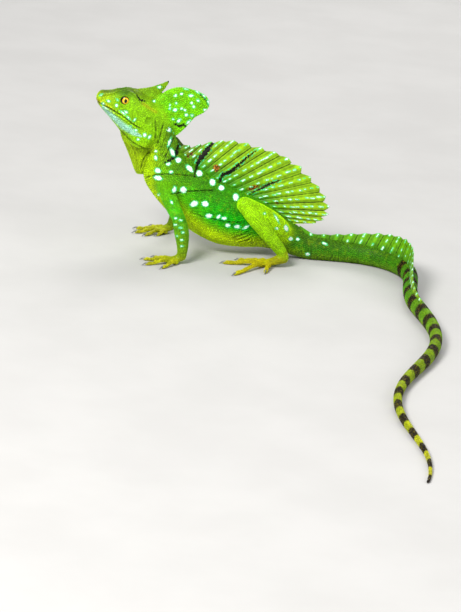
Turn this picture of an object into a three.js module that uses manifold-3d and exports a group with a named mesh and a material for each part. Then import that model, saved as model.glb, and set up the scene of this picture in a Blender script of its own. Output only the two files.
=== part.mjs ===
// A green basilisk, an adult male, as a life-size still model that sits alert on a flat floor.
// Millimetres. +Z is up, the floor is Z = 0, the head looks along -X and the left side faces -Y.
// Each part of the body is a closed solid in its own mesh, GAP away from what it grows from.
import * as THREE from "three";
import { mergeVertices } from "three/addons/utils/BufferGeometryUtils.js";
import Module from "manifold-3d";

const wasm = await Module();
wasm.setup();

// Driving dimensions
const GAP = 0.3;
const TAIL_LENGTH = 620; // from behind the pelvis to the tip
const TAIL_BENDS = 8; // pieces that the tail is divided into
const EYE_RADIUS = 5.0;
const DORSAL_RAYS = 18;
const TAIL_RAY_PITCH = 11;
const TOE_SIDES = 6;
const LIMB_SIDES = 11;
const BODY_SIDES = 20;
const HEAD_SIDES = 22;
const TAIL_SIDES = 10;
const FLOOR_SINK = 0.4; // how far a round underside would dip below the floor, which flattens it

const V = (x, y, z) => new THREE.Vector3(x, y, z);
const UP = V(0, 0, 1);
const ACROSS = V(0, 1, 0);
const lerp = THREE.MathUtils.lerp;
const smoothstep = THREE.MathUtils.smoothstep;

// Rings and lofts

// A ring is an oval: its centre, half-axes to its side and to its top, and how square each half is.
function ring(centre, side, up, topPower = 2, bottomPower = 2) {
  return { centre, side, up, topPower, bottomPower };
}

// A ring of the body's middle plane, from the points of its top and bottom outline as [x, z].
function profileRing([top, bottom, halfWidth, topPower, bottomPower]) {
  const high = V(top[0], 0, top[1]);
  const low = V(bottom[0], 0, bottom[1]);
  const centre = high.clone().add(low).multiplyScalar(0.5);
  const up = high.clone().sub(low).multiplyScalar(0.5);
  return ring(centre, V(0, halfWidth, 0), up, topPower, bottomPower);
}

// Many rings along the smooth curve through a few, between shares from and to of its length.
function refine(rings, count, from = 0, to = 1) {
  const through = (key) =>
    new THREE.CatmullRomCurve3(rings.map((r) => r[key]));
  const [centres, sides, ups] = ["centre", "side", "up"].map(through);
  const last = rings.length - 1;
  return Array.from({ length: count + 1 }, (_, i) => {
    const t = lerp(from, to, i / count);
    const k = Math.min(Math.floor(t * last), last - 1);
    const blend = (key) => lerp(rings[k][key], rings[k + 1][key], t * last - k);
    return ring(
      centres.getPoint(t),
      sides.getPoint(t),
      ups.getPoint(t),
      blend("topPower"),
      blend("bottomPower"),
    );
  });
}

// The point of a ring at an angle from its side towards its top, with its half-axes grown.
function ringPoint(r, angle, grow) {
  const c = Math.cos(angle);
  const s = Math.sin(angle);
  const power = 2 / (s > 0 ? r.topPower : r.bottomPower);
  const reach = (axis) => (axis.length() + grow) / axis.length();
  const sideways = Math.sign(c) * Math.abs(c) ** power * reach(r.side);
  const upwards = Math.sign(s) * Math.abs(s) ** power * reach(r.up);
  return r.centre
    .clone()
    .addScaledVector(r.side, sideways)
    .addScaledVector(r.up, upwards);
}

// A closed geometry from points and triangles.
function geometryOf(points, triangles) {
  const g = new THREE.BufferGeometry().setFromPoints(points);
  g.setIndex(triangles);
  return g;
}

// The closed skin over a row of rings, grown by grow all round, with a flat fan over each end.
function skin(rings, sides, grow = 0) {
  const points = [];
  for (const r of rings)
    for (let k = 0; k < sides; k++)
      points.push(ringPoint(r, (2 * Math.PI * k) / sides, grow));
  const triangles = [];
  for (let i = 0; i + 1 < rings.length; i++)
    for (let k = 0; k < sides; k++) {
      const a = i * sides + k;
      const b = i * sides + ((k + 1) % sides);
      triangles.push(a, b, a + sides, b, b + sides, a + sides);
    }
  const first = points.push(endPoint(rings[0], rings[1], grow)) - 1;
  const n = rings.length;
  const last = points.push(endPoint(rings[n - 1], rings[n - 2], grow)) - 1;
  for (let k = 0; k < sides; k++) {
    const next = (k + 1) % sides;
    triangles.push(first, next, k);
    const base = (n - 1) * sides;
    triangles.push(last, base + k, base + next);
  }
  return solid(geometryOf(points, triangles));
}

// The middle of a loft's end, moved out by grow.
function endPoint(end, inner, grow) {
  const out = end.centre.clone().sub(inner.centre).normalize();
  return end.centre.clone().addScaledVector(out, grow);
}

// A manifold solid from a closed geometry, turned the right way out.
function solid(geometry) {
  const bare = geometry.index ? geometry.toNonIndexed() : geometry.clone();
  bare.deleteAttribute("normal");
  bare.deleteAttribute("uv");
  const merged = mergeVertices(bare, 1e-4);
  const build = (triVerts) =>
    new wasm.Manifold(
      new wasm.Mesh({
        numProp: 3,
        vertProperties: merged.attributes.position.array,
        triVerts,
      }),
    );
  const made = build(new Uint32Array(merged.index.array));
  if (made.volume() > 0) return made;
  return build(new Uint32Array(merged.index.array).reverse());
}

// The solid without its loose scraps.
function largest(made) {
  const pieces = made.decompose();
  return pieces.reduce((a, b) => (b.volume() > a.volume() ? b : a));
}

const fuse = (...pieces) => pieces.reduce((a, b) => a.add(b));
const without = (made, ...others) =>
  largest(others.reduce((a, b) => a.subtract(b), made));
const aboveFloor = (made) => made.trimByPlane([0, 0, 1], 0);

// A limb's rings from its stations: [x, y, z, half-width, half-depth]. wide is where the width points.
function limbRings(stations, wide) {
  const path = stations.map(([x, y, z]) => V(x, y, z));
  return stations.map(([, , , halfWidth, halfDepth], i) => {
    const before = path[Math.max(i - 1, 0)];
    const after = path[Math.min(i + 1, path.length - 1)];
    const along = after.clone().sub(before).normalize();
    const side = wide
      .clone()
      .addScaledVector(along, -wide.dot(along))
      .normalize();
    const up = along.clone().cross(side);
    return ring(
      path[i],
      side.multiplyScalar(halfWidth),
      up.multiplyScalar(halfDepth),
    );
  });
}

// Rounds both ends of a loft off with two rings each.
function rounded(rings) {
  const cap = (end, inner) => {
    const out = end.centre.clone().sub(inner.centre).normalize();
    const size = Math.min(end.side.length(), end.up.length());
    return [0.6, 0.92].map((share) => {
      const width = Math.sqrt(1 - share * share);
      return ring(
        end.centre.clone().addScaledVector(out, size * share),
        end.side.clone().multiplyScalar(width),
        end.up.clone().multiplyScalar(width),
        end.topPower,
        end.bottomPower,
      );
    });
  };
  const n = rings.length;
  const front = cap(rings[0], rings[1]).reverse();
  return [...front, ...rings, ...cap(rings[n - 1], rings[n - 2])];
}

function limb(stations, wide, { grow = 0, count = 5, sides = LIMB_SIDES } = {}) {
  return skin(rounded(refine(limbRings(stations, wide), count)), sides, grow);
}

// A thin tube along points, from one radius to another, with rounded ends.
function tube(points, startRadius, endRadius, { sides = 8, count = 6 } = {}) {
  const n = points.length - 1;
  const stations = points.map(([x, y, z], i) => {
    const radius = lerp(startRadius, endRadius, i / n);
    return [x, y, z, radius, radius];
  });
  return limb(stations, V(0.2, 1, 0.3), { count, sides });
}

function ball(radius, [x, y, z], widthSegments = 14, heightSegments = 9) {
  const g = new THREE.SphereGeometry(radius, widthSegments, heightSegments);
  return solid(g.translate(x, y, z));
}

function smoothLine(points) {
  return new THREE.CatmullRomCurve3(points.map(([x, z]) => V(x, 0, z)));
}

// Trunk and neck: top and bottom outline as [x, z], half-width, squareness of the top and bottom half

const TRUNK = [
  [[-64, 119.5], [-84.7, 98], 9.5, 2, 2],
  [[-55.8, 108], [-75, 88.1], 11, 2, 2],
  [[-51, 98.9], [-77, 77.5], 12.5, 1.9, 2],
  [[-46.5, 90.2], [-78, 62], 16, 1.8, 2],
  [[-29.5, 76.8], [-58.5, 37], 19.5, 1.75, 2.1],
  [[-9.9, 66.0], [-32.5, 17.6], 21.5, 1.7, 2.2],
  [[5.1, 59.6], [-9.6, 8], 22, 1.7, 2.3],
  [[21, 53.5], [12.9, 6.2], 20, 1.75, 2.3],
  [[36.9, 46.2], [32.7, 7.4], 17, 1.8, 2.2],
  [[51.2, 37.3], [48.4, 5.6], 15, 1.85, 2.1],
  [[64.7, 28.2], [61, 2.2], 12.2, 1.9, 2],
];
const trunkRings = TRUNK.map(profileRing);

// Tail: it meets the floor behind the pelvis, turns towards -Y and runs on in a lazy wave

const TAIL_START = V(76, 0, 10.2);
const TAIL_TURN = THREE.MathUtils.degToRad(93);
const TURN_BEGINS = 12;
const TURN_ENDS = 135;
const WAVE = THREE.MathUtils.degToRad(17);
const WAVE_LENGTH = 300;
// Along the tail in mm, half-height, half-width
const TAIL_SIZES = [
  [0, 10.8, 9.8],
  [30, 9.6, 8.3],
  [70, 8.8, 7.1],
  [130, 8.2, 6.3],
  [220, 7.4, 5.5],
  [320, 6.2, 4.6],
  [400, 4.9, 3.7],
  [490, 3.4, 2.6],
  [570, 1.9, 1.5],
  [TAIL_LENGTH, 0.9, 0.8],
];

function tailHeading(s) {
  const turned = -TAIL_TURN * smoothstep(s, TURN_BEGINS, TURN_ENDS);
  const past = Math.max(0, s - TURN_ENDS);
  const swing = Math.min(1, past / 60);
  return turned + WAVE * swing * Math.sin((2 * Math.PI * past) / WAVE_LENGTH);
}

function tailSize(s) {
  const k = Math.max(
    0,
    TAIL_SIZES.findLastIndex(([at]) => at <= s),
  );
  const [a, b] = [TAIL_SIZES[k], TAIL_SIZES[Math.min(k + 1, TAIL_SIZES.length - 1)]];
  const share = b === a ? 0 : (s - a[0]) / (b[0] - a[0]);
  return { high: lerp(a[1], b[1], share), wide: lerp(a[2], b[2], share) };
}

// Rings every few millimetres along the tail.
function tailRingsAlong(step) {
  const at = TAIL_START.clone();
  const rings = [];
  for (let s = 0; s <= TAIL_LENGTH; s += step) {
    const { high, wide } = tailSize(s);
    const heading = tailHeading(s);
    const side = V(-Math.sin(heading), Math.cos(heading), 0);
    const centre = V(at.x, at.y, high - FLOOR_SINK);
    rings.push(ring(centre, side.multiplyScalar(wide), V(0, 0, high), 1.85, 2));
    at.add(V(Math.cos(heading), Math.sin(heading), 0).multiplyScalar(step));
  }
  return rings;
}

const TAIL_STEP = 12;
const tailRings = tailRingsAlong(TAIL_STEP);
const spineRings = [...trunkRings, ...tailRings];
const spineLast = spineRings.length - 1;
const HAND_OVER = 1.5; // rings past the pelvis, where the trunk ends and the tail begins

// The share of the spine's length at a ring's number, counted with fractions.
const spineShare = (number) => number / spineLast;
const spineEnd = trunkRings.length - 1 + HAND_OVER;

// Rings of the spine between two ring numbers, half a GAP short at each end.
function spineRun(from, to, count) {
  const spacing = (n) => {
    const k = Math.min(Math.floor(n), spineLast - 1);
    return spineRings[k].centre.distanceTo(spineRings[k + 1].centre);
  };
  const a = from > 0 ? from + GAP / 2 / spacing(from) : 0;
  const b = to < spineLast ? to - GAP / 2 / spacing(to) : spineLast;
  return refine(spineRings, count, spineShare(a), spineShare(b));
}

const NECK_ENDS = 2.6; // ring number where the neck meets the trunk
const TRUNK_ENDS = 7.4; // where the chest and belly meet the hips
const tailSpan = (spineLast - spineEnd) / TAIL_BENDS;
const spinePieces = {
  neck: spineRun(0, NECK_ENDS, 6),
  trunk: spineRun(NECK_ENDS, TRUNK_ENDS, 12),
  hips: spineRun(TRUNK_ENDS, spineEnd, 7),
};
for (let i = 0; i < TAIL_BENDS; i++) {
  const from = spineEnd + i * tailSpan;
  const to = i + 1 < TAIL_BENDS ? from + tailSpan : spineLast;
  spinePieces[`tail_${i + 1}`] = spineRun(from, to, 6);
}
const grownSpine = skin(Object.values(spinePieces).flat(), BODY_SIDES, GAP);

// Head: the same kind of outline table as the trunk, snout to nape

const HEAD = [
  [[-126.1, 132.4], [-125.8, 129.2], 1.6, 2, 2],
  [[-125.2, 135.6], [-124.2, 126.6], 4.4, 2.2, 2],
  [[-122.2, 138.7], [-119.6, 121.6], 6.4, 2.4, 1.9],
  [[-115.3, 139.3], [-112.6, 114.6], 8.2, 2.6, 1.8],
  [[-106, 140.2], [-105.9, 107.3], 10, 2.6, 1.8],
  [[-97.3, 142.6], [-99.4, 99.6], 11.6, 2.4, 1.8],
  [[-87.7, 142], [-92.6, 93.4], 13.4, 2.1, 1.8],
  [[-78.2, 137.2], [-83.4, 89.2], 14.8, 1.9, 2],
  [[-69, 129], [-74.6, 88.6], 13.6, 1.8, 2],
  [[-61.5, 118.9], [-68, 90.9], 10.4, 1.9, 2],
  [[-57.4, 110], [-63.6, 95], 6, 2, 2],
];
const headRings = HEAD.map(profileRing);
const skullOf = (grow, count = 14) =>
  skin(refine(headRings, count), HEAD_SIDES, grow);

const EYE = [-100.1, 6.9, 133.8];
const MOUTH = [
  [-127, 129.2],
  [-121, 127.9],
  [-114, 125.3],
  [-106, 121.9],
  [-98, 118.1],
  [-91.5, 113.8],
  [-84.5, 110.6],
];
const LIP_DEPTH = 1.3;
const EAR = [-77.6, 14.6, 117.5];

// The width of the skull at a place along its middle plane, found on its own rings.
function skullHalfWidth(x, z) {
  const rings = refine(headRings, 60);
  let best = { off: Infinity };
  for (const r of rings)
    for (let k = 0; k <= 60; k++) {
      const p = ringPoint(r, -Math.PI / 2 + (Math.PI * k) / 60, 0);
      const off = Math.hypot(p.x - x, p.z - z);
      if (off < best.off) best = { off, y: p.y };
    }
  return best.y;
}

// A thin tube that lies on the skull's left and right side along [x, z] points, sunk by sink.
function ridgeOnSkull(line, radius, sink, side, count = 5) {
  const curve = smoothLine(line);
  const points = Array.from({ length: count + 1 }, (_, i) => {
    const p = curve.getPoint(i / count);
    const y = skullHalfWidth(p.x, p.z) - sink;
    return [p.x, side * y, p.z];
  });
  return tube(points, radius, radius * 0.8, { sides: 5, count });
}

// The curtain of the mouth line, as thick as the slit, across the whole head.
function mouthCurtain(thickness) {
  const curve = smoothLine(MOUTH);
  const across = 20;
  const upper = [];
  const lower = [];
  for (let i = 0; i <= 8; i++) {
    const p = curve.getPoint(i / 8);
    upper.push(new THREE.Vector2(p.x, p.z + thickness / 2));
    lower.push(new THREE.Vector2(p.x, p.z - thickness / 2));
  }
  const outline = new THREE.Shape([...upper, ...lower.reverse()]);
  const g = new THREE.ExtrudeGeometry(outline, {
    depth: 2 * across,
    bevelEnabled: false,
  });
  g.rotateX(Math.PI / 2);
  return solid(g.translate(0, across, 0));
}

// Upper and lower lid as one raised rim round the eye.
function lidRim(side) {
  const g = new THREE.TorusGeometry(4.6, 1.25, 5, 12);
  g.scale(1.12, 0.92, 1);
  g.rotateX(Math.PI / 2);
  g.rotateZ(side * -0.14);
  return solid(g.translate(EYE[0], side * (EYE[1] + 2.5), EYE[2]));
}

function nostril(side) {
  return tube(
    [
      [-121.4, side * 7.5, 136.2],
      [-119.4, side * 3.4, 134.6],
    ],
    0.9,
    0.8,
    { sides: 8, count: 2 },
  );
}

// The shallow cup of the ear drum.
function earCup(side) {
  const g = new THREE.SphereGeometry(1, 10, 6).scale(2.9, 1.5, 4.0);
  return solid(g.translate(EAR[0], side * EAR[1], EAR[2]));
}

// The full cheek of an old male, behind the mouth.
function jawMuscle(side, grow) {
  const g = new THREE.SphereGeometry(1, 11, 7);
  g.scale(11 + grow, 3.6 + grow, 9.5 + grow);
  return solid(g.translate(-83.5, side * 12.2, 101.5));
}

const BROW = [
  [-121.5, 136.2],
  [-113, 137.4],
  [-106, 139.6],
  [-99, 140.9],
  [-93, 139.6],
  [-88.5, 135.5],
];
const LIP_RISE = 1.7;

function headSolid() {
  const parts = [skullOf(0)];
  for (const side of [-1, 1]) {
    parts.push(ridgeOnSkull(BROW, 1.7, 0.7, side));
    for (const rise of [LIP_RISE, -LIP_RISE]) {
      const lip = MOUTH.slice(1).map(([x, z]) => [x, z + rise]);
      parts.push(ridgeOnSkull(lip, 1.35, 0.75, side));
    }
    parts.push(lidRim(side));
    parts.push(jawMuscle(side, 0));
  }
  const slit = mouthCurtain(0.7).subtract(skullOf(-LIP_DEPTH));
  let head = fuse(...parts).subtract(slit);
  for (const side of [-1, 1]) {
    const place = [EYE[0], side * EYE[1], EYE[2]];
    const socket = ball(EYE_RADIUS + GAP, place, 12, 8);
    head = head.subtract(socket);
    head = head.subtract(nostril(side)).subtract(earCup(side));
  }
  return largest(head);
}

const head = headSolid();
const grownSkull = fuse(skullOf(GAP), jawMuscle(-1, GAP), jawMuscle(1, GAP));

// Throat pouch: a thin flap of skin that hangs between the jaw and the chest

const POUCH = [
  [[-74, 100], [-103.8, 107], 6.6, 2, 2],
  [[-73.3, 92.5], [-101, 97.6], 6.2, 2, 1.8],
  [[-73, 84.5], [-95.9, 87.4], 5.6, 2, 1.7],
  [[-73.9, 76], [-91.6, 78], 5, 2, 1.7],
  [[-76, 69], [-88, 69.8], 4.4, 2, 1.8],
  [[-79, 65], [-85.3, 65.2], 2.6, 2, 2],
];
function throatPouch() {
  return without(
    skin(refine(POUCH.map(profileRing), 8), 14),
    grownSkull,
    grownSpine,
  );
}

// Fins

// A thin upright fin from root(s) to edge(s). Rays stand up as ridges on both faces.
// across(s) points sideways; low and high give its half-thickness at the root and at the edge.
function fin({ root, edge, across, rays, rows, low, high, ridge, scallop, firstRay = 0 }) {
  const columns = [];
  const pitch = (1 - firstRay) / rays;
  const add = (s, rise, out) => columns.push({ s, rise, out });
  if (firstRay > 0) add(0, 0, 0);
  for (let i = 0; i < rays; i++) {
    const at = firstRay + pitch * (i + 0.5);
    add(at - pitch * 0.5, 0, -scallop);
    add(at - pitch * 0.2, 0, -scallop * 0.3);
    add(at, ridge, scallop);
    add(at + pitch * 0.2, 0, -scallop * 0.6);
  }
  add(1, 0, -scallop);
  const points = [];
  for (const face of [1, -1])
    for (const { s, rise, out } of columns) {
      const from = root(s);
      const to = edge(s);
      const reach = from.distanceTo(to);
      const tall = (reach + out * Math.min(1, reach / 18)) / reach;
      for (let j = 0; j <= rows; j++) {
        const t = j / rows;
        const half = lerp(low, high, t) + rise * (1 - 0.55 * t);
        const p = from.clone().lerp(to, t * tall);
        points.push(p.addScaledVector(across(s), face * half));
      }
    }
  const width = columns.length;
  const id = (face, i, j) => (face * width + i) * (rows + 1) + j;
  const triangles = [];
  const quad = (a, b, c, d) => triangles.push(a, b, c, a, c, d);
  for (let i = 0; i + 1 < width; i++) {
    for (let j = 0; j < rows; j++) {
      quad(id(0, i, j), id(0, i, j + 1), id(0, i + 1, j + 1), id(0, i + 1, j));
      quad(id(1, i, j), id(1, i + 1, j), id(1, i + 1, j + 1), id(1, i, j + 1));
    }
    quad(id(0, i, 0), id(0, i + 1, 0), id(1, i + 1, 0), id(1, i, 0));
    quad(id(0, i, rows), id(1, i, rows), id(1, i + 1, rows), id(0, i + 1, rows));
  }
  for (let j = 0; j < rows; j++) {
    quad(id(0, 0, j), id(1, 0, j), id(1, 0, j + 1), id(0, 0, j + 1));
    const e = width - 1;
    quad(id(0, e, j), id(0, e, j + 1), id(1, e, j + 1), id(1, e, j));
  }
  return solid(geometryOf(points, triangles));
}

// The tall fin on the back, with its rays swept further back towards the hips
const DORSAL_ROOT = [
  [-57, 97],
  [-46, 84],
  [-32.5, 74],
  [-14, 63],
  [4.5, 54.5],
  [22, 47.5],
  [39, 39],
  [54, 29],
];
const DORSAL_EDGE = [
  [-50.8, 103],
  [-40.5, 94.3],
  [-22, 99.2],
  [-2, 102.6],
  [22, 98.4],
  [46.5, 92],
  [67, 77],
  [83, 61],
  [88.5, 44.5],
  [81, 34.5],
  [60, 31],
];
function dorsalFin() {
  const root = smoothLine(DORSAL_ROOT);
  const edge = smoothLine(DORSAL_EDGE);
  const made = fin({
    root: (s) => root.getPoint(s),
    edge: (s) => edge.getPoint(s),
    across: () => ACROSS,
    rays: DORSAL_RAYS,
    rows: 3,
    low: 1.5,
    high: 0.35,
    ridge: 0.75,
    scallop: 2.2,
    firstRay: 0.07,
  });
  return without(made, grownSpine, grownSkull);
}

// The fin along the first third of the tail, in pieces that follow its bend
const CREST_FROM = -6; // mm along the tail; less than 0 is on the hips
const CREST_TO = 215;
const CREST_SPLITS = [46, 98];
const CREST_HEIGHT = 16;
const CREST_LEAN = 0.55; // how far a ray leans back, as a share of its height
const CREST_SINK = 4;
const tailCurve = new THREE.CatmullRomCurve3(tailRings.map((r) => r.centre));

function tailTop(s) {
  const t = Math.max(0, s) / (TAIL_STEP * (tailRings.length - 1));
  const at = tailCurve.getPoint(t);
  const along = tailCurve.getTangent(t);
  const top = at.addScaledVector(UP, tailSize(Math.max(0, s)).high);
  if (s >= 0) return { top, along };
  const hip = V(64.7, 0, 28.2);
  const share = Math.min(1, -s / -CREST_FROM);
  return { top: top.lerp(hip, share), along: V(0.77, 0, -0.62) };
}

function tailFin(from, to) {
  const at = (share) => lerp(from, to, share);
  const root = (share) => tailTop(at(share)).top.addScaledVector(UP, -CREST_SINK);
  const edge = (share) => {
    const { top, along } = tailTop(at(share));
    const overall = (at(share) - CREST_FROM) / (CREST_TO - CREST_FROM);
    const rise = smoothstep(at(share), CREST_FROM, CREST_TO * 0.42);
    const fall = 1 - smoothstep(overall, 0.5, 1);
    const tall = 1.6 + CREST_HEIGHT * rise * fall;
    return top.addScaledVector(UP, tall).addScaledVector(along, tall * CREST_LEAN);
  };
  const across = (share) =>
    V(-tailTop(at(share)).along.y, tailTop(at(share)).along.x, 0).normalize();
  const made = fin({
    root,
    edge,
    across,
    rays: Math.round((to - from) / TAIL_RAY_PITCH),
    rows: 2,
    low: 1.3,
    high: 0.35,
    ridge: 0.55,
    scallop: 1.2,
  });
  return without(made, grownSpine);
}

// A rounded leaf of the casque between a root and an edge line, thick at its root.
function leaf(rootLine, edgeLine, { low, high, columns, rows }) {
  const root = smoothLine(rootLine);
  const edge = smoothLine(edgeLine);
  return fin({
    root: (s) => root.getPoint(s),
    edge: (s) => edge.getPoint(s),
    across: () => ACROSS,
    rays: columns,
    rows,
    low,
    high,
    ridge: 0.22,
    scallop: 0.35,
  });
}

const CASQUE_ROOT = [
  [-79, 131],
  [-73, 124],
  [-68, 116],
  [-63, 107],
];
const CASQUE_EDGE = [
  [-70.5, 137.5],
  [-63.4, 143.9],
  [-54, 147.6],
  [-44, 147.2],
  [-34, 144.6],
  [-27, 140.2],
  [-25, 133.6],
  [-28.5, 127.4],
  [-37, 121.4],
  [-44.5, 111.5],
  [-50.5, 104.8],
  [-54.5, 101],
];
const HORN_ROOT = [
  [-92, 136],
  [-85, 134],
  [-78, 131],
];
const HORN_EDGE = [
  [-89, 143.2],
  [-79, 145.5],
  [-69, 149.6],
  [-62.4, 152.6],
  [-64.6, 147],
  [-69.6, 139.6],
];

// Limbs. Stations are [x, y, z, half-width, half-depth], with y counted outwards from the middle.
// A hand or foot runs from its root to the middle of its knuckles, where spread is half its width,
// and its digits reach to their tips at [x, y], the innermost first.

const LIMBS = {
  left: {
    side: -1,
    arm: [
      [-60, 9, 62, 9, 8],
      [-56, 21, 56, 8, 7],
      [-49.5, 34, 47, 6.4, 6],
      [-43, 44, 39, 6, 5.6],
    ],
    forearm: [
      [-43, 44, 39, 6, 5.7],
      [-39.6, 47, 28, 6.8, 6.2],
      [-37.6, 49, 16, 5.8, 4.8],
      [-37.6, 50, 7.5, 4.8, 4],
    ],
    hand: {
      root: [-37.5, 50, 6.2],
      knuckles: [-49, 52],
      spread: 5.4,
      tips: [
        [-54, 37],
        [-66, 40],
        [-75, 50],
        [-72, 67],
        [-56, 75],
      ],
    },
    thigh: [
      [53, 7, 20, 8, 9],
      [43, 16, 31, 11, 11],
      [27, 26, 45, 9, 9],
      [14.5, 32.5, 53.5, 7.2, 7.2],
    ],
    shank: [
      [14.5, 32.5, 53.5, 6.8, 6.8],
      [25, 34, 42.5, 7.6, 7.2],
      [39, 34.5, 27, 6.2, 5.8],
      [53, 34, 11, 4.8, 4.4],
    ],
    foot: {
      root: [54, 34, 8.6],
      knuckles: [33, 38],
      spread: 5.6,
      tips: [
        [24, 25],
        [9, 27],
        [-4, 41],
        [8, 76],
        [37, 63],
      ],
    },
  },
  right: {
    side: 1,
    arm: [
      [-60, 9, 62, 9, 8],
      [-57, 21, 56, 8, 7],
      [-51, 32, 47, 6.4, 6],
      [-45, 40, 39, 6, 5.6],
    ],
    forearm: [
      [-45, 40, 39, 6, 5.7],
      [-46, 42, 28, 6.6, 6],
      [-48.5, 42.6, 16, 5.4, 4.7],
      [-51, 42, 7.5, 4.6, 3.9],
    ],
    hand: {
      root: [-51.2, 42, 6.2],
      knuckles: [-62, 39],
      spread: 5.4,
      tips: [
        [-66, 24],
        [-77, 21],
        [-87, 29],
        [-87, 44],
        [-73, 57],
      ],
    },
    thigh: [
      [53, 7, 20, 8, 9],
      [43, 17, 30, 11, 11],
      [29, 28, 42.5, 9, 9],
      [17.5, 36, 50.5, 7.2, 7.2],
    ],
    shank: [
      [17.5, 36, 50.5, 6.8, 6.8],
      [28, 37.5, 40.5, 7.6, 7.2],
      [43, 38, 26, 6.2, 5.8],
      [58, 37, 11, 4.8, 4.4],
    ],
    foot: {
      root: [59, 37, 8.6],
      knuckles: [38.5, 42],
      spread: 5.6,
      tips: [
        [27, 31],
        [13, 37],
        [3, 53],
        [9, 80],
        [44, 68],
      ],
    },
  },
};
const WIDE = V(0.3, 1, 0.2);
const FINGER_RADIUS = 1.75;
const TOE_RADIUS = 2.0;
const CLAW_LENGTH = 4.6;
// Along the claw as a share of its length, height over the toe's tip, radius
const CLAW = [
  [0.12, 0.35, 0.95],
  [0.55, 0.1, 0.7],
  [1, -0.75, 0.3],
];

// One digit: it leaves the knuckle, arches up and comes down on the floor, and ends in a claw.
function digit(knuckle, tip, radius) {
  const reach = Math.hypot(tip.x - knuckle.x, tip.y - knuckle.y) - CLAW_LENGTH;
  const along = V(tip.x - knuckle.x, tip.y - knuckle.y, 0).normalize();
  const shares = [0, 0.28, 0.6, 0.85, 1];
  const rises = [0, 1.9, 0.9, 0, 0];
  const widths = [1.15, 1, 0.9, 0.92, 0.72];
  const stations = shares.map((share, i) => {
    const p = knuckle.clone().addScaledVector(along, reach * share);
    const r = radius * widths[i];
    p.z = lerp(knuckle.z, r, Math.min(1, share * 1.6)) - FLOOR_SINK + rises[i];
    return [p.x, p.y, p.z, r, r];
  });
  const [x, y, z] = stations.at(-1);
  for (const [share, rise, r] of CLAW) {
    const out = CLAW_LENGTH * share;
    stations.push([x + along.x * out, y + along.y * out, z + rise, r, r]);
  }
  return skin(limbRings(stations, V(along.y, -along.x, 0)), TOE_SIDES);
}

// A hand or foot: a flat palm from its root to the knuckles, and its digits.
function paw({ root, knuckles, spread, tips }, side, radius) {
  const start = V(root[0], side * root[1], root[2]);
  const end = V(knuckles[0], side * knuckles[1], radius * 1.35);
  const along = end.clone().sub(start).setZ(0).normalize();
  const outward = V(along.y, -along.x, 0).multiplyScalar(-side);
  if (outward.y * side < 0) outward.negate();
  const middle = start.clone().lerp(end, 0.55);
  middle.z = lerp(root[2], end.z, 0.72);
  const stations = [
    [...start.toArray(), spread * 0.78, root[2] * 0.62],
    [...middle.toArray(), spread * 0.84, 3],
    [...end.toArray(), spread * 1.02, 2.2],
  ];
  let made = limb(stations, outward, { count: 2, sides: 9 });
  const backs = [5, 1, 0, 1, 6];
  tips.forEach(([x, y], i) => {
    const share = i / (tips.length - 1) - 0.5;
    const knuckle = end
      .clone()
      .addScaledVector(outward, share * spread * 1.6)
      .addScaledVector(along, -backs[i] * spread * 0.2);
    knuckle.z = radius * 1.2;
    made = made.add(digit(knuckle, V(x, side * y, 0), radius));
  });
  return aboveFloor(made);
}

// Assembly

const SKIN_GREEN = { color: 0x55b81a, roughness: 0.55, metalness: 0 };
const BELLY_GREEN = { color: 0xa4cc1e, roughness: 0.55, metalness: 0 };
const FIN_GREEN = { color: 0x8cc81e, roughness: 0.5, metalness: 0 };
const TOE_GREEN = { color: 0xb5bf1c, roughness: 0.6, metalness: 0 };
const TAIL_BROWN = { color: 0x6f7a1c, roughness: 0.6, metalness: 0 };
const EYE_AMBER = { color: 0xf0920f, roughness: 0.15, metalness: 0 };

const animal = new THREE.Group();

function addNode(name, made, look) {
  const { numProp, vertProperties, triVerts, numVert } = made.getMesh();
  const positions = new Float32Array(numVert * 3);
  for (let i = 0; i < numVert; i++)
    for (let k = 0; k < 3; k++)
      positions[3 * i + k] = vertProperties[i * numProp + k];
  const g = new THREE.BufferGeometry();
  g.setAttribute("position", new THREE.BufferAttribute(positions, 3));
  g.setIndex(new THREE.BufferAttribute(new Uint32Array(triVerts), 1));
  g.computeVertexNormals();
  const mesh = new THREE.Mesh(g, new THREE.MeshStandardMaterial(look));
  mesh.name = name;
  animal.add(mesh);
}

addNode("head", head, SKIN_GREEN);
for (const side of [-1, 1]) {
  const name = side < 0 ? "eye_left" : "eye_right";
  const place = [EYE[0], side * EYE[1], EYE[2]];
  addNode(name, ball(EYE_RADIUS, place), EYE_AMBER);
}
for (const [name, rings] of Object.entries(spinePieces)) {
  const onTail = name.startsWith("tail");
  const piece = aboveFloor(skin(rings, onTail ? TAIL_SIDES : BODY_SIDES));
  const look = /tail_[4-9]/.test(name) ? TAIL_BROWN : SKIN_GREEN;
  addNode(name, name === "neck" ? without(piece, grownSkull) : piece, look);
}
addNode("throat_pouch", throatPouch(), BELLY_GREEN);
addNode("dorsal_fin", dorsalFin(), FIN_GREEN);
const finEnds = [CREST_FROM, ...CREST_SPLITS, CREST_TO];
for (let i = 0; i + 1 < finEnds.length; i++) {
  const made = tailFin(finEnds[i] + GAP, finEnds[i + 1] - GAP);
  addNode(`tail_fin_${i + 1}`, made, FIN_GREEN);
}

const HORN_SHAPE = { low: 3, high: 0.5, columns: 4, rows: 3 };
const CASQUE_SHAPE = { low: 6, high: 0.6, columns: 7, rows: 4 };
const horn = leaf(HORN_ROOT, HORN_EDGE, HORN_SHAPE);
const casque = leaf(CASQUE_ROOT, CASQUE_EDGE, CASQUE_SHAPE);
const grownHorn = leaf(HORN_ROOT, HORN_EDGE, {
  ...HORN_SHAPE,
  low: HORN_SHAPE.low + GAP,
  high: HORN_SHAPE.high + GAP,
});
addNode("crest_front", without(horn, grownSkull), FIN_GREEN);
addNode(
  "crest_rear",
  without(casque, grownSkull, grownSpine, grownHorn),
  FIN_GREEN,
);

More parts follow.
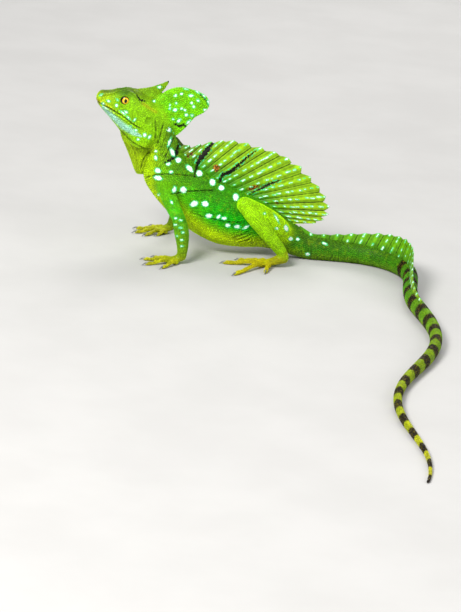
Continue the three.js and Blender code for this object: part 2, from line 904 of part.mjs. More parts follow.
for (const [name, l] of Object.entries(LIMBS)) {
  const at = (stations) =>
    stations.map(([x, y, z, ...sizes]) => [x, l.side * y, z, ...sizes]);
  const grown = (stations) => limb(at(stations), WIDE, { grow: GAP });
  const arm = without(limb(at(l.arm), WIDE), grownSpine);
  const forearm = without(limb(at(l.forearm), WIDE), grown(l.arm), grownSpine);
  const hand = paw(l.hand, l.side, FINGER_RADIUS);
  const thigh = without(limb(at(l.thigh), WIDE), grownSpine);
  const shank = without(limb(at(l.shank), WIDE), grown(l.thigh), grownSpine);
  const foot = paw(l.foot, l.side, TOE_RADIUS);
  addNode(`arm_${name}`, arm, SKIN_GREEN);
  addNode(`forearm_${name}`, forearm, SKIN_GREEN);
  addNode(`hand_${name}`, without(hand, grown(l.forearm)), TOE_GREEN);
  addNode(`thigh_${name}`, thigh, SKIN_GREEN);
  addNode(`shank_${name}`, shank, SKIN_GREEN);
  addNode(`foot_${name}`, without(foot, grown(l.shank), grownSpine), TOE_GREEN);
}

// The origin is the middle of the model's box, on the floor.
const box = new THREE.Box3().setFromObject(animal);
const middle = box.getCenter(V(0, 0, 0));
animal.position.set(-middle.x, -middle.y, -box.min.z);

export default animal;
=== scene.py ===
import math

import bpy
import bmesh
import numpy as np
from mathutils import Matrix, Vector
from mathutils.kdtree import KDTree


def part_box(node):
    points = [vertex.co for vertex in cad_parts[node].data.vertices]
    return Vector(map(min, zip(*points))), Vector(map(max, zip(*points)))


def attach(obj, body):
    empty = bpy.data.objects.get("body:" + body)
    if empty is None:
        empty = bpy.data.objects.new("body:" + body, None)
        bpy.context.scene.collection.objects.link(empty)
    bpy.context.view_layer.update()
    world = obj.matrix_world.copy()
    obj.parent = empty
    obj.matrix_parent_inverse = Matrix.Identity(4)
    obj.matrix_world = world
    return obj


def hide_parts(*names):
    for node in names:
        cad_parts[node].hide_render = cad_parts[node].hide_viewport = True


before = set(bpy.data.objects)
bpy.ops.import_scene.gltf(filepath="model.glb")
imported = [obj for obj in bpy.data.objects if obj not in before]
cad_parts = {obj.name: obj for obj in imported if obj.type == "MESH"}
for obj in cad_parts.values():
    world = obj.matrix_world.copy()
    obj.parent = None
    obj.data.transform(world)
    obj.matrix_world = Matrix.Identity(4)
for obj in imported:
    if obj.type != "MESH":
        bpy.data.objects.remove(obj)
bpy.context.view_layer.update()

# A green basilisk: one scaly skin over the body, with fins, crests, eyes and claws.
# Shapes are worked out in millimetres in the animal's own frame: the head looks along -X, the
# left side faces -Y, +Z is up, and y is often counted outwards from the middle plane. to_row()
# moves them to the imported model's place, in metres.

# Driving sizes, in millimetres

EYE = np.array([-100.1, 6.9, 133.8])
EYE_RADIUS = 5.0
TAIL_LENGTH = 620.0
DORSAL_RAYS = 18
TAIL_RAY_PITCH = 11.0
FLOOR_SINK = 0.4
SKIN_VOXEL = 0.0006  # metres
FAR = 30.0  # stands for no mark near by, wherever a distance to marks is kept
PICTURE_HEIGHT = 612  # pixels
PIXEL = 0.9  # mm of the animal for each pixel of the photograph
CAMERA_HEIGHT = math.radians(18)
CAMERA_ROLL = math.radians(5)
CAMERA_DISTANCE = 2500.0


def frame_shift():
    """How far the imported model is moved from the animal's own frame, in mm."""
    low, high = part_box("eye_left")
    centre = np.array((low + high) / 2) * 1000
    return centre - EYE * np.array([1, -1, 1])


SHIFT = frame_shift()


def to_row(points):
    """Points of the animal's frame, in mm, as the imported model's metres."""
    return (np.asarray(points, float) + SHIFT) / 1000


def from_row(points):
    return np.asarray(points, float) * 1000 - SHIFT


# Curves and lofts

def smoothstep(x, low, high):
    t = np.clip((x - low) / (high - low), 0, 1)
    return t * t * (3 - 2 * t)


def lerp(a, b, t):
    return a + (b - a) * t


def unit(vectors):
    """Vectors, one or a row of them, scaled to length 1."""
    return vectors / np.linalg.norm(vectors, axis=-1, keepdims=True)


def level_across(along):
    """The level direction at right angles to another."""
    return np.array([along[1], -along[0], 0])


def bell(x, width):
    """A bump: 1 where x is 0, fading over width to both sides."""
    return np.exp(-(x / width) ** 2)


def run_along(line):
    """How far along a row of points each of them lies."""
    return np.concatenate([[0], np.cumsum(np.linalg.norm(np.diff(line, axis=0), axis=1))])


def curve(points, shares):
    """A smooth curve through points, at shares of its count of spans."""
    p = np.asarray(points, float)
    p = np.vstack([2 * p[0] - p[1], p, 2 * p[-1] - p[-2]])
    spans = len(p) - 3
    at = np.clip(np.asarray(shares, float), 0, 1) * spans
    k = np.minimum(at.astype(int), spans - 1)
    t = (at - k)[:, None]
    p0, p1, p2, p3 = p[k], p[k + 1], p[k + 2], p[k + 3]
    gap = lambda a, b: np.maximum(np.linalg.norm(a - b, axis=1), 1e-4)[:, None] ** 0.5
    d0, d1, d2 = gap(p0, p1), gap(p1, p2), gap(p2, p3)
    t1 = ((p1 - p0) / d0 - (p2 - p0) / (d0 + d1) + (p2 - p1) / d1) * d1
    t2 = ((p2 - p1) / d1 - (p3 - p1) / (d1 + d2) + (p3 - p2) / d2) * d1
    c2 = -3 * p1 + 3 * p2 - 2 * t1 - t2
    c3 = 2 * p1 - 2 * p2 + t1 + t2
    return p1 + t1 * t + c2 * t ** 2 + c3 * t ** 3


def in_plane(points):
    """[x, z] points as points of the middle plane."""
    return [[x, 0, z] for x, z in points]


class Rings:
    """A row of ovals: centres, half-axes to the side and to the top, and their squareness.

    The squareness is a power for the top and one for the bottom, where 2 is an ellipse.
    """

    def __init__(self, centre, side, up, top_power, bottom_power):
        self.centre, self.side, self.up = (np.asarray(v, float) for v in (centre, side, up))
        powers = (top_power, bottom_power)
        self.powers = [np.broadcast_to(np.asarray(v, float), len(self.centre)) for v in powers]

    def columns(self):
        return self.centre, self.side, self.up, *self.powers

    def refine(self, count):
        """The same shape with count spans in place of its own."""
        shares = np.linspace(0, 1, count + 1)
        known = np.arange(len(self.centre))
        at = shares * known[-1]
        return Rings(*[curve(column, shares) for column in (self.centre, self.side, self.up)],
                     *[np.interp(at, known, power) for power in self.powers])

    def points(self, sides):
        angle = np.arange(sides) * 2 * np.pi / sides
        c, s = np.cos(angle), np.sin(angle)
        top, bottom = self.powers
        power = np.where(s > 0, top[:, None], bottom[:, None])
        across = np.sign(c) * np.abs(c) ** (2 / power)
        upwards = np.sign(s) * np.abs(s) ** (2 / power)
        ovals = across[..., None] * self.side[:, None] + upwards[..., None] * self.up[:, None]
        return self.centre[:, None] + ovals

    def rounded(self):
        """The same rings with each end rounded off."""
        def cap(end, inner):
            centre, side, up, *powers = (column[end] for column in self.columns())
            out = unit(centre - self.centre[inner])
            size = min(np.linalg.norm(side), np.linalg.norm(up))
            rows = []
            for share in (0.35, 0.6, 0.8, 0.94):
                width = math.sqrt(1 - share * share)
                rows.append((centre + out * size * share, side * width, up * width, *powers))
            return rows
        rows = cap(0, 1)[::-1] + list(zip(*self.columns())) + cap(-1, -2)
        return Rings(*[np.array(column) for column in zip(*rows)])


def profile(table):
    """Rings of the middle plane, from rows of top [x, z], bottom [x, z], half-width, powers."""
    tops = np.array([[r[0][0], 0, r[0][1]] for r in table], float)
    lows = np.array([[r[1][0], 0, r[1][1]] for r in table], float)
    sides = np.array([[0, r[2], 0] for r in table], float)
    return Rings((tops + lows) / 2, sides, (tops - lows) / 2,
                 [r[3] for r in table], [r[4] for r in table])


def directions(path):
    """Direction of a path at each of its points."""
    return unit(np.vstack([path[1] - path[0], path[2:] - path[:-2], path[-1] - path[-2]]))


def limb_rings(stations, wide):
    """Rings of a limb from rows of x, y, z, half-width, half-depth."""
    table = np.asarray(stations, float)
    path = table[:, :3]
    along = directions(path)
    side = unit(wide - along * (along @ wide)[:, None])
    up = np.cross(along, side)
    return Rings(path, side * table[:, 3:4], up * table[:, 4:5], 2, 2)


def loft(rings, sides):
    """Points and faces of a closed skin over rings."""
    grid = rings.points(sides)
    count = len(grid)
    points = [tuple(p) for p in grid.reshape(-1, 3)]
    faces = []
    for i in range(count - 1):
        for k in range(sides):
            a, b = i * sides + k, i * sides + (k + 1) % sides
            faces.append((a, b, b + sides, a + sides))
    faces.append(tuple(range(sides))[::-1])
    faces.append(tuple(range((count - 1) * sides, count * sides)))
    return points, faces


SCALE_PITCH = {  # mm between scales, for each part of the body
    "spine": 1.75, "head": 1.2, "pouch": 1.3, "casque": 1.5, "horn": 1.3, "arm": 1.55,
    "forearm": 1.45, "hand": 1.2, "finger": 1.15, "thigh": 1.6, "shank": 1.5, "foot": 1.2,
    "toe": 1.15,
}
ROW_PITCH = 0.86  # between rows of scales, against the pitch along a row


class Part:
    """A length of the body: its name, its rings and how many sides its skin has."""

    def __init__(self, name, rings, sides):
        self.name = name
        self.rings = rings
        self.sides = sides

    def rows(self):
        """Rings of places for scales, each row set off by half a scale from the one before."""
        pitch = SCALE_PITCH[self.name]
        length = run_along(self.rings.centre)
        last = len(length) - 1
        count = max(3, int(length[-1] / (pitch * ROW_PITCH)))
        share = np.interp(np.linspace(0, length[-1], count), length, np.linspace(0, 1, last + 1))
        at = share * last
        low = np.minimum(at.astype(int), last - 1)
        mix = (at - low)[:, None, None]
        full = self.rings.points(96)
        places = []
        for i, loop in enumerate(full[low] * (1 - mix) + full[low + 1] * mix):
            closed = np.vstack([loop, loop[:1]])
            around = run_along(closed)
            number = max(4, round(around[-1] / pitch))
            spots = (np.arange(number) + 0.5 * (i % 2)) / number * around[-1]
            places.append(np.stack([np.interp(spots, around, column) for column in closed.T], 1))
        return np.vstack(places)


def ellipsoid(centre, half, segments=32, rings_count=18):
    cx, cy, cz = centre
    points = [(cx, cy, cz - half[2])]
    faces = []
    for i in range(1, rings_count):
        a = -np.pi / 2 + np.pi * i / rings_count
        for k in range(segments):
            b = 2 * np.pi * k / segments
            points.append((cx + half[0] * math.cos(a) * math.cos(b),
                           cy + half[1] * math.cos(a) * math.sin(b),
                           cz + half[2] * math.sin(a)))
    points.append((cx, cy, cz + half[2]))
    top = len(points) - 1
    ring_start = lambda i: 1 + (i - 1) * segments
    for k in range(segments):
        n = (k + 1) % segments
        faces.append((0, ring_start(1) + n, ring_start(1) + k))
        last = ring_start(rings_count - 1)
        faces.append((top, last + k, last + n))
        for i in range(1, rings_count - 1):
            a, b = ring_start(i), ring_start(i + 1)
            faces.append((a + k, a + n, b + n, b + k))
    return points, faces


def placed(name, data):
    """A new object of the scene, for a mesh, a lamp or a camera."""
    thing = bpy.data.objects.new(name, data)
    bpy.context.scene.collection.objects.link(thing)
    return thing


def make_object(name, parts):
    """One mesh object from several (points, faces) in the animal's millimetres."""
    points, faces = [], []
    for part_points, part_faces in parts:
        base = len(points)
        points.extend(part_points)
        faces.extend([tuple(base + i for i in f) for f in part_faces])
    mesh = bpy.data.meshes.new(name)
    mesh.from_pydata([tuple(p) for p in to_row(points)], [], faces)
    mesh.validate()
    piece = placed(name, mesh)
    work = bmesh.new()
    work.from_mesh(mesh)
    bmesh.ops.recalc_face_normals(work, faces=work.faces)
    work.to_mesh(mesh)
    work.free()
    return piece


# Trunk, neck and tail

TRUNK = [  # top [x, z], bottom [x, z], half-width, and how square the top and bottom are
    [[-64, 119.5], [-84.7, 98], 9.5, 2, 2],
    [[-55.8, 108], [-75, 88.1], 11, 2, 2],
    [[-51, 98.9], [-77, 77.5], 12.5, 1.9, 2],
    [[-46.5, 90.2], [-78, 62], 16, 1.8, 2],
    [[-29.5, 76.8], [-58.5, 37], 19.5, 1.75, 2.1],
    [[-9.9, 66.0], [-32.5, 17.6], 21.5, 1.7, 2.2],
    [[5.1, 59.6], [-9.6, 8], 22, 1.7, 2.3],
    [[21, 53.5], [12.9, 6.2], 20, 1.75, 2.3],
    [[36.9, 46.2], [32.7, 7.4], 17, 1.8, 2.2],
    [[51.2, 37.3], [48.4, 5.6], 15, 1.85, 2.1],
    [[64.7, 28.2], [61, 2.2], 12.2, 1.9, 2],
]
TAIL_START = np.array([76.0, 0.0])
TAIL_TURN = math.radians(93)
TURN_BEGINS, TURN_ENDS = 12.0, 135.0
WAVE = math.radians(17)
WAVE_LENGTH = 300.0
WAVE_GROWS = 60.0  # mm past the turn, over which the tail's waves reach their full swing
TAIL_STEP = 12
TAIL_SIZES = [  # mm along the tail, half-height, half-width
    [0, 10.8, 9.8], [30, 9.6, 8.3], [70, 8.8, 7.1], [130, 8.2, 6.3], [220, 7.4, 5.5],
    [320, 6.2, 4.6], [400, 4.9, 3.7], [490, 3.4, 2.6], [570, 1.9, 1.5], [TAIL_LENGTH, 0.9, 0.8],
]


def tail_heading(s):
    turned = -TAIL_TURN * smoothstep(s, TURN_BEGINS, TURN_ENDS)
    past = np.maximum(0, s - TURN_ENDS)
    swing = np.minimum(1, past / WAVE_GROWS)
    return turned + WAVE * swing * np.sin(2 * np.pi * past / WAVE_LENGTH)


def tail_table():
    """Rows of s, x, y, half-height, half-width, heading at every TAIL_STEP along the tail."""
    s = np.arange(0, TAIL_LENGTH + 0.1, TAIL_STEP)
    heading = tail_heading(s)
    steps = np.stack([np.cos(heading), np.sin(heading)], 1) * TAIL_STEP
    xy = TAIL_START + np.vstack([[0, 0], np.cumsum(steps, 0)[:-1]])
    sizes = np.array(TAIL_SIZES, float)
    high, wide = (np.interp(s, sizes[:, 0], sizes[:, k]) for k in (1, 2))
    return np.column_stack([s, xy, high, wide, heading])


TAIL = tail_table()


def tail_rings():
    s, x, y, high, wide, heading = TAIL.T
    side = np.stack([-np.sin(heading) * wide, np.cos(heading) * wide, 0 * s], 1)
    up = np.stack([0 * s, 0 * s, high], 1)
    centre = np.stack([x, y, high - FLOOR_SINK], 1)
    return Rings(centre, side, up, 1.85, 2)


def spine_rings():
    pairs = zip(profile(TRUNK).columns(), tail_rings().columns())
    return Rings(*[np.concatenate(pair) for pair in pairs])


SPINE = spine_rings()

# Head

HEAD = [
    [[-126.1, 132.4], [-125.8, 129.2], 1.6, 2, 2],
    [[-125.2, 135.6], [-124.2, 126.6], 4.4, 2.2, 2],
    [[-122.2, 138.7], [-119.6, 121.6], 6.4, 2.4, 1.9],
    [[-115.3, 139.3], [-112.6, 114.6], 8.2, 2.6, 1.8],
    [[-106, 140.2], [-105.9, 107.3], 10, 2.6, 1.8],
    [[-97.3, 142.6], [-99.4, 99.6], 11.6, 2.4, 1.8],
    [[-87.7, 142], [-92.6, 93.4], 13.4, 2.1, 1.8],
    [[-78.2, 137.2], [-83.4, 89.2], 14.8, 1.9, 2],
    [[-69, 129], [-74.6, 88.6], 13.6, 1.8, 2],
    [[-61.5, 118.9], [-68, 90.9], 10.4, 1.9, 2],
    [[-57.4, 110], [-63.6, 95], 6, 2, 2],
]
MOUTH = [
    [-127, 129.2], [-121, 127.9], [-114, 125.3], [-106, 121.9], [-98, 118.1], [-91.5, 113.8],
    [-84.5, 110.6],
]
BROW = [
    [-121.5, 136.2], [-113, 137.4], [-106, 139.6], [-99, 140.9], [-93, 139.6], [-88.5, 135.5],
]
EAR = (-77.6, 117.5)  # x, z
JAW_MUSCLE = ((-83.5, 12.2, 101.5), (11, 3.6, 9.5))
LIP_RISE = 1.7
BROW_RIDGE = (1.7, 0.7)  # radius, and how far its middle lies inside the skull
LIP_RIDGE = (1.35, 0.75)
LID_RING, LID_THICK = 4.6, 1.25  # radius of the ring of the lids, and of the lids themselves
LID_LONG, LID_HIGH = 1.12, 0.92
LID_TURN = 0.14
LID_OUT = 2.5  # past the eye's middle
POUCH = [
    [[-74, 100], [-103.8, 107], 6.6, 2, 2],
    [[-73.3, 92.5], [-101, 97.6], 6.2, 2, 1.8],
    [[-73, 84.5], [-95.9, 87.4], 5.6, 2, 1.7],
    [[-73.9, 76], [-91.6, 78], 5, 2, 1.7],
    [[-76, 69], [-88, 69.8], 4.4, 2, 1.8],
    [[-79, 65], [-85.3, 65.2], 2.6, 2, 2],
]
SKULL = profile(HEAD)
SKULL_POINTS = SKULL.refine(90).points(160).reshape(-1, 3)
SKULL_POINTS = SKULL_POINTS[SKULL_POINTS[:, 1] > 0]


def skull_half_width(x, z):
    """How far out the skull's side lies at x and z."""
    off = np.hypot(SKULL_POINTS[:, 0] - x, SKULL_POINTS[:, 2] - z)
    near = np.argsort(off)[:8]
    return SKULL_POINTS[near, 1].max()


def ridge_on_skull(line, radius, sink, side):
    """A thin rounded ridge along [x, z] points of the skull's left or right side."""
    count = 16
    rows = []
    for i, (x, _, z) in enumerate(curve(in_plane(line), np.linspace(0, 1, count + 1))):
        r = lerp(radius, radius * 0.8, i / count)
        rows.append([x, side * (skull_half_width(x, z) - sink), z, r, r])
    return loft(limb_rings(rows, np.array([0.2, 1, 0.3])).refine(count).rounded(), 12)


def lid_rim(side):
    """The raised lids round one eye, as a closed ring."""
    big, thin = 44, 12  # points along the ring and round it
    points, faces = [], []
    turn = -side * LID_TURN
    for i in range(big):
        a = 2 * np.pi * i / big
        for k in range(thin):
            b = 2 * np.pi * k / thin
            reach = LID_RING + LID_THICK * math.cos(b)
            x, z = reach * math.cos(a) * LID_LONG, reach * math.sin(a) * LID_HIGH
            y = LID_THICK * math.sin(b)
            points.append((EYE[0] + x * math.cos(turn) - y * math.sin(turn),
                           side * (EYE[1] + LID_OUT) + x * math.sin(turn) + y * math.cos(turn),
                           EYE[2] + z))
            n, m = (i + 1) % big, (k + 1) % thin
            faces.append((i * thin + k, n * thin + k, n * thin + m, i * thin + m))
    return points, faces


def head_details():
    """Brows, lips, lids and jaw muscles, which the head's skin takes in."""
    parts = []
    for side in (-1, 1):
        parts.append(ridge_on_skull(BROW, *BROW_RIDGE, side))
        for rise in (LIP_RISE, -LIP_RISE):
            lip = [[x, z + rise] for x, z in MOUTH[1:]]
            parts.append(ridge_on_skull(lip, *LIP_RIDGE, side))
        parts.append(lid_rim(side))
        (x, y, z), half = JAW_MUSCLE
        parts.append(ellipsoid((x, side * y, z), half))
    return parts


# Limbs

LIMBS = {  # stations are x, y outwards, z, half-width and half-depth; tips are x, y outwards
    "left": {
        "side": -1,
        "arm": [[-60, 9, 62, 9, 8], [-56, 21, 56, 8, 7], [-49.5, 34, 47, 6.4, 6],
                [-43, 44, 39, 6, 5.6]],
        "forearm": [[-43, 44, 39, 6, 5.7], [-39.6, 47, 28, 6.8, 6.2], [-37.6, 49, 16, 5.8, 4.8],
                    [-37.6, 50, 7.5, 4.8, 4]],
        "hand": {
            "root": [-37.5, 50, 6.2],
            "knuckles": [-49, 52],
            "spread": 5.4,
            "tips": [[-54, 37], [-66, 40], [-75, 50], [-72, 67], [-56, 75]],
        },
        "thigh": [[53, 7, 20, 8, 9], [43, 16, 31, 11, 11], [27, 26, 45, 9, 9],
                  [14.5, 32.5, 53.5, 7.2, 7.2]],
        "shank": [[14.5, 32.5, 53.5, 6.8, 6.8], [25, 34, 42.5, 7.6, 7.2],
                  [39, 34.5, 27, 6.2, 5.8], [53, 34, 11, 4.8, 4.4]],
        "foot": {
            "root": [54, 34, 8.6],
            "knuckles": [33, 38],
            "spread": 5.6,
            "tips": [[24, 25], [9, 27], [-4, 41], [8, 76], [37, 63]],
        },
    },
    "right": {
        "side": 1,
        "arm": [[-60, 9, 62, 9, 8], [-57, 21, 56, 8, 7], [-51, 32, 47, 6.4, 6],
                [-45, 40, 39, 6, 5.6]],
        "forearm": [[-45, 40, 39, 6, 5.7], [-46, 42, 28, 6.6, 6], [-48.5, 42.6, 16, 5.4, 4.7],
                    [-51, 42, 7.5, 4.6, 3.9]],
        "hand": {
            "root": [-51.2, 42, 6.2],
            "knuckles": [-62, 39],
            "spread": 5.4,
            "tips": [[-66, 24], [-77, 21], [-87, 29], [-87, 44], [-73, 57]],
        },
        "thigh": [[53, 7, 20, 8, 9], [43, 17, 30, 11, 11], [29, 28, 42.5, 9, 9],
                  [17.5, 36, 50.5, 7.2, 7.2]],
        "shank": [[17.5, 36, 50.5, 6.8, 6.8], [28, 37.5, 40.5, 7.6, 7.2], [43, 38, 26, 6.2, 5.8],
                  [58, 37, 11, 4.8, 4.4]],
        "foot": {
            "root": [59, 37, 8.6],
            "knuckles": [38.5, 42],
            "spread": 5.6,
            "tips": [[27, 31], [13, 37], [3, 53], [9, 80], [44, 68]],
        },
    },
}
LIMB_WIDE = np.array([0.3, 1, 0.2])
FINGER_RADIUS = 1.75
TOE_RADIUS = 2.0
CLAW_LENGTH = 4.6
DIGIT = [  # share of the digit's length, rise in mm, and width against the digit's radius
    [0, 0, 1.15], [0.14, 1.3, 1.0], [0.28, 1.9, 1.06], [0.45, 1.5, 0.86], [0.6, 0.9, 0.95],
    [0.72, 0.35, 0.8], [0.85, 0, 0.96], [0.93, 0, 0.9], [1, 0, 0.6],
]
DIGIT_DROP = 1.6  # how steeply a digit comes down, where 1 would take its whole length
KNUCKLE_HEIGHT, PALM_END_HEIGHT = 1.2, 1.35  # against the digit's radius
KNUCKLE_BACK = (5, 1, 0, 1, 6)  # fifths of the palm's spread that each knuckle stands back
KNUCKLE_ROW = 1.6  # width of the row of knuckles, against the palm's spread


def outward(stations, side):
    """Limb stations with y counted from the middle plane, on their own side."""
    return [[r[0], side * r[1], *r[2:]] for r in stations]


def digit_path(knuckle, tip, radius):
    """Stations of one digit, from its knuckle down to the floor, and its direction."""
    way = np.append(np.array(tip, float) - knuckle[:2], 0)
    reach = np.linalg.norm(way) - CLAW_LENGTH
    along = unit(way)
    rows = []
    for share, rise, width in DIGIT:
        r = radius * width
        p = knuckle + along * reach * share
        p[2] = lerp(knuckle[2], r, min(1, share * DIGIT_DROP)) - FLOOR_SINK + rise
        rows.append([*p, r, r])
    return rows, along


def paw_layout(paw, side, radius):
    """A hand's or foot's palm stations, its level direction outwards, and its digits."""
    spread, height = paw["spread"], paw["root"][2]
    start = np.array([paw["root"][0], side * paw["root"][1], height])
    end = np.array([paw["knuckles"][0], side * paw["knuckles"][1], radius * PALM_END_HEIGHT])
    along = unit((end - start) * [1, 1, 0])
    out = level_across(along)
    if out[1] * side < 0:
        out = -out
    middle = lerp(start, end, 0.55)
    middle[2] = lerp(height, end[2], 0.72)
    palm = [
        [*start, spread * 0.78, height * 0.62],
        [*middle, spread * 0.84, 3],
        [*end, spread * 1.02, 2.2],
    ]
    digits = []
    for i, (tip, back) in enumerate(zip(paw["tips"], KNUCKLE_BACK)):
        across = out * (i / 4 - 0.5) * spread * KNUCKLE_ROW
        knuckle = end + across - along * back * spread * 0.2
        knuckle[2] = radius * KNUCKLE_HEIGHT
        digits.append(digit_path(knuckle, [tip[0], side * tip[1]], radius))
    return palm, out, digits


PAWS = {
    (name, part): paw_layout(l[part], l["side"], radius)
    for name, l in LIMBS.items()
    for part, radius in (("hand", FINGER_RADIUS), ("foot", TOE_RADIUS))
}


def limb_parts():
    parts = []
    for l in LIMBS.values():
        for name in ("arm", "forearm", "thigh", "shank"):
            rings = limb_rings(outward(l[name], l["side"]), LIMB_WIDE)
            parts.append(Part(name, rings.refine(24).rounded(), 28))
    for (side, name), (palm, out, digits) in PAWS.items():
        parts.append(Part(name, limb_rings(palm, out).refine(10).rounded(), 20))
        digit = "finger" if name == "hand" else "toe"
        for rows, along in digits:
            rings = limb_rings(rows, level_across(along))
            parts.append(Part(digit, rings.refine(24).rounded(), 14))
    return parts


# Fins

DORSAL_ROOT = [
    [-57, 97], [-46, 84], [-32.5, 74], [-14, 63], [4.5, 54.5], [22, 47.5], [39, 39], [54, 29],
]
DORSAL_EDGE = [
    [-50.8, 103], [-40.5, 94.3], [-22, 99.2], [-2, 102.6], [22, 98.4], [46.5, 92], [67, 77],
    [83, 61], [88.5, 44.5], [81, 34.5], [60, 31],
]
CASQUE_ROOT = [[-79, 131], [-73, 124], [-68, 116], [-63, 107]]
CASQUE_EDGE = [
    [-70.5, 137.5], [-63.4, 143.9], [-54, 147.6], [-44, 147.2], [-34, 144.6], [-27, 140.2],
    [-25, 133.6], [-28.5, 127.4], [-37, 121.4], [-44.5, 111.5], [-50.5, 104.8], [-54.5, 101],
]
HORN_ROOT = [[-92, 136], [-85, 134], [-78, 131]]
HORN_EDGE = [
    [-89, 143.2], [-79, 145.5], [-69, 149.6], [-62.4, 152.6], [-64.6, 147], [-69.6, 139.6],
]
CREST_FROM, CREST_TO = -6.0, 215.0
CREST_HEIGHT = 16.0
CREST_LEAN = 0.55
CREST_SINK = 4.0
CREST_LEAST = 1.6  # mm of fin at its ends
HIP_TOP = np.array([64.7, 0, 28.2])  # of the trunk's last ring, where the crest starts
SIDEWAYS = np.array([0.0, 1.0, 0.0])
DORSAL_COLUMNS = 14  # columns of points for each ray
TAIL_COLUMNS = 12


def sheet(roots, edges, across, halves, tall):
    """A closed upright sheet. roots and edges are rows of points, one for each column.

    halves[i, j] is its half-thickness, and tall[i] stretches column i past its edge point.
    """
    columns, rows = halves.shape
    t = np.linspace(0, 1, rows)
    spread = roots[:, None] + (edges - roots)[:, None] * (t[None] * tall[:, None])[..., None]
    push = across[:, None] * halves[..., None]
    points = np.concatenate([(spread + push).reshape(-1, 3), (spread - push).reshape(-1, 3)])
    face = columns * rows
    quads = []
    for i in range(columns - 1):
        for j in range(rows - 1):
            a = i * rows + j
            quads.append((a, a + 1, a + rows + 1, a + rows))
            quads.append((face + a, face + a + rows, face + a + rows + 1, face + a + 1))
        for j in (0, rows - 1):
            a = i * rows + j
            quads.append((a, a + rows, face + a + rows, face + a))
    for j in range(rows - 1):
        for i in (0, columns - 1):
            a = i * rows + j
            quads.append((a, face + a, face + a + 1, a + 1))
    return [tuple(p) for p in points], quads


def leaf_lines(root_line, edge_line, count):
    """The root and the edge of a leaf of the casque as rows of points."""
    shares = np.linspace(0, 1, count)
    return curve(in_plane(root_line), shares), curve(in_plane(edge_line), shares)


def leaf_part(root_line, edge_line, low, high):
    """A rounded leaf of the casque, low and high in half-thickness at its root and edge."""
    columns, rows = 60, 40
    roots, edges = leaf_lines(root_line, edge_line, columns)
    halves = np.tile(lerp(low, high, np.linspace(0, 1, rows) ** 0.8), (columns, 1))
    return sheet(roots, edges, np.tile(SIDEWAYS, (columns, 1)), halves, np.ones(columns))


def ray_layout(rays, first_ray, per_ray):
    """Shares along a fin for its columns, and each column's place from its ray, -0.5 to 0.5."""
    pitch = (1 - first_ray) / rays
    place = np.arange(rays * per_ray + 1) / per_ray
    shares = first_ray + pitch * place
    phase = place % 1.0 - 0.5
    number = np.minimum(place.astype(int), rays - 1)
    if first_ray > 0:
        lead = 5  # columns ahead of the first ray
        shares = np.concatenate([np.linspace(0, first_ray, lead + 1)[:-1], shares])
        phase = np.concatenate([np.full(lead, -0.5), phase])
        number = np.concatenate([np.zeros(lead, int), number])
    return shares, phase, number


def fin_part(root, edge, across, layout, per_ray, rows, low, high, ridge, scallop, seed):
    """A fin with rays as rounded ridges, thin folds between them and a torn, scalloped edge.

    low and high are its half-thickness at the root and at the edge, and ridge what a ray adds.
    It comes with what its material needs to know of each point.
    """
    shares, phase, number = layout
    random = np.random.default_rng(seed)
    roots, edges, sides = root(shares), edge(shares), across(shares)
    reach = np.linalg.norm(edges - roots, axis=1)
    ray_length = scallop * random.uniform(0.5, 1.35, number.max() + 1)
    out = ray_length[number] * (1 - (np.abs(phase) * 2) ** 1.1 * 1.9)
    tall = (reach + out * np.minimum(1, reach / 18)) / reach
    t = np.linspace(0, 1, rows)
    swell = bell(phase, 0.27)
    slot = bell(np.abs(phase) - 0.5, 0.08)
    halves = lerp(low, high, t)[None] + ridge * swell[:, None] * (1 - 0.55 * t)[None]
    halves -= slot[:, None] * np.minimum(halves * 0.45, 0.35)
    halves[:, -2:] *= [0.75, 0.35]  # the edge thins out
    points, quads = sheet(roots, edges, sides, halves, tall)
    pitch = np.gradient(roots, axis=0)[:, None] * (1 - t)[None, :, None]
    pitch = pitch + np.gradient(edges, axis=0)[:, None] * t[None, :, None]
    pitch = np.linalg.norm(pitch, axis=2) * per_ray
    looks = {
        "share": np.broadcast_to(t, halves.shape),
        "up": t[None] * (reach * tall)[:, None],
        "off": phase[:, None] * pitch,
        "pitch": pitch,
        "ray": np.broadcast_to(number[:, None], halves.shape),
    }
    return points, quads, {key: np.tile(v.ravel(), 2) for key, v in looks.items()}


def tail_place(s):
    """Point on top of the tail and the direction along it, at s mm along the tail."""
    s = np.asarray(s, float)
    on = np.maximum(0, s)
    x, y, high, heading = (np.interp(on, TAIL[:, 0], TAIL[:, k]) for k in (1, 2, 3, 5))
    top = np.stack([x, y, 2 * high - FLOOR_SINK], 1)
    along = np.stack([np.cos(heading), np.sin(heading), 0 * x], 1)
    share = np.clip(s / CREST_FROM, 0, 1)[:, None]
    return lerp(top, HIP_TOP, share), along


def tail_fin_part():
    rays = round((CREST_TO - CREST_FROM) / TAIL_RAY_PITCH)
    layout = ray_layout(rays, 0, TAIL_COLUMNS)
    at = lambda shares: lerp(CREST_FROM, CREST_TO, shares)

    def root(shares):
        return tail_place(at(shares))[0] - [0, 0, CREST_SINK]

    def edge(shares):
        top, along = tail_place(at(shares))
        rise = smoothstep(at(shares), CREST_FROM, CREST_TO * 0.42)
        fall = 1 - smoothstep(shares, 0.5, 1)
        tall = CREST_LEAST + CREST_HEIGHT * rise * fall
        return top + np.outer(tall, [0, 0, 1]) + along * (tall * CREST_LEAN)[:, None]

    def across(shares):
        along = tail_place(at(shares))[1]
        return np.stack([-along[:, 1], along[:, 0], 0 * along[:, 0]], 1)

    return fin_part(root, edge, across, layout, TAIL_COLUMNS, rows=24, low=1.3, high=0.35,
                    ridge=0.55, scallop=1.2, seed=3)


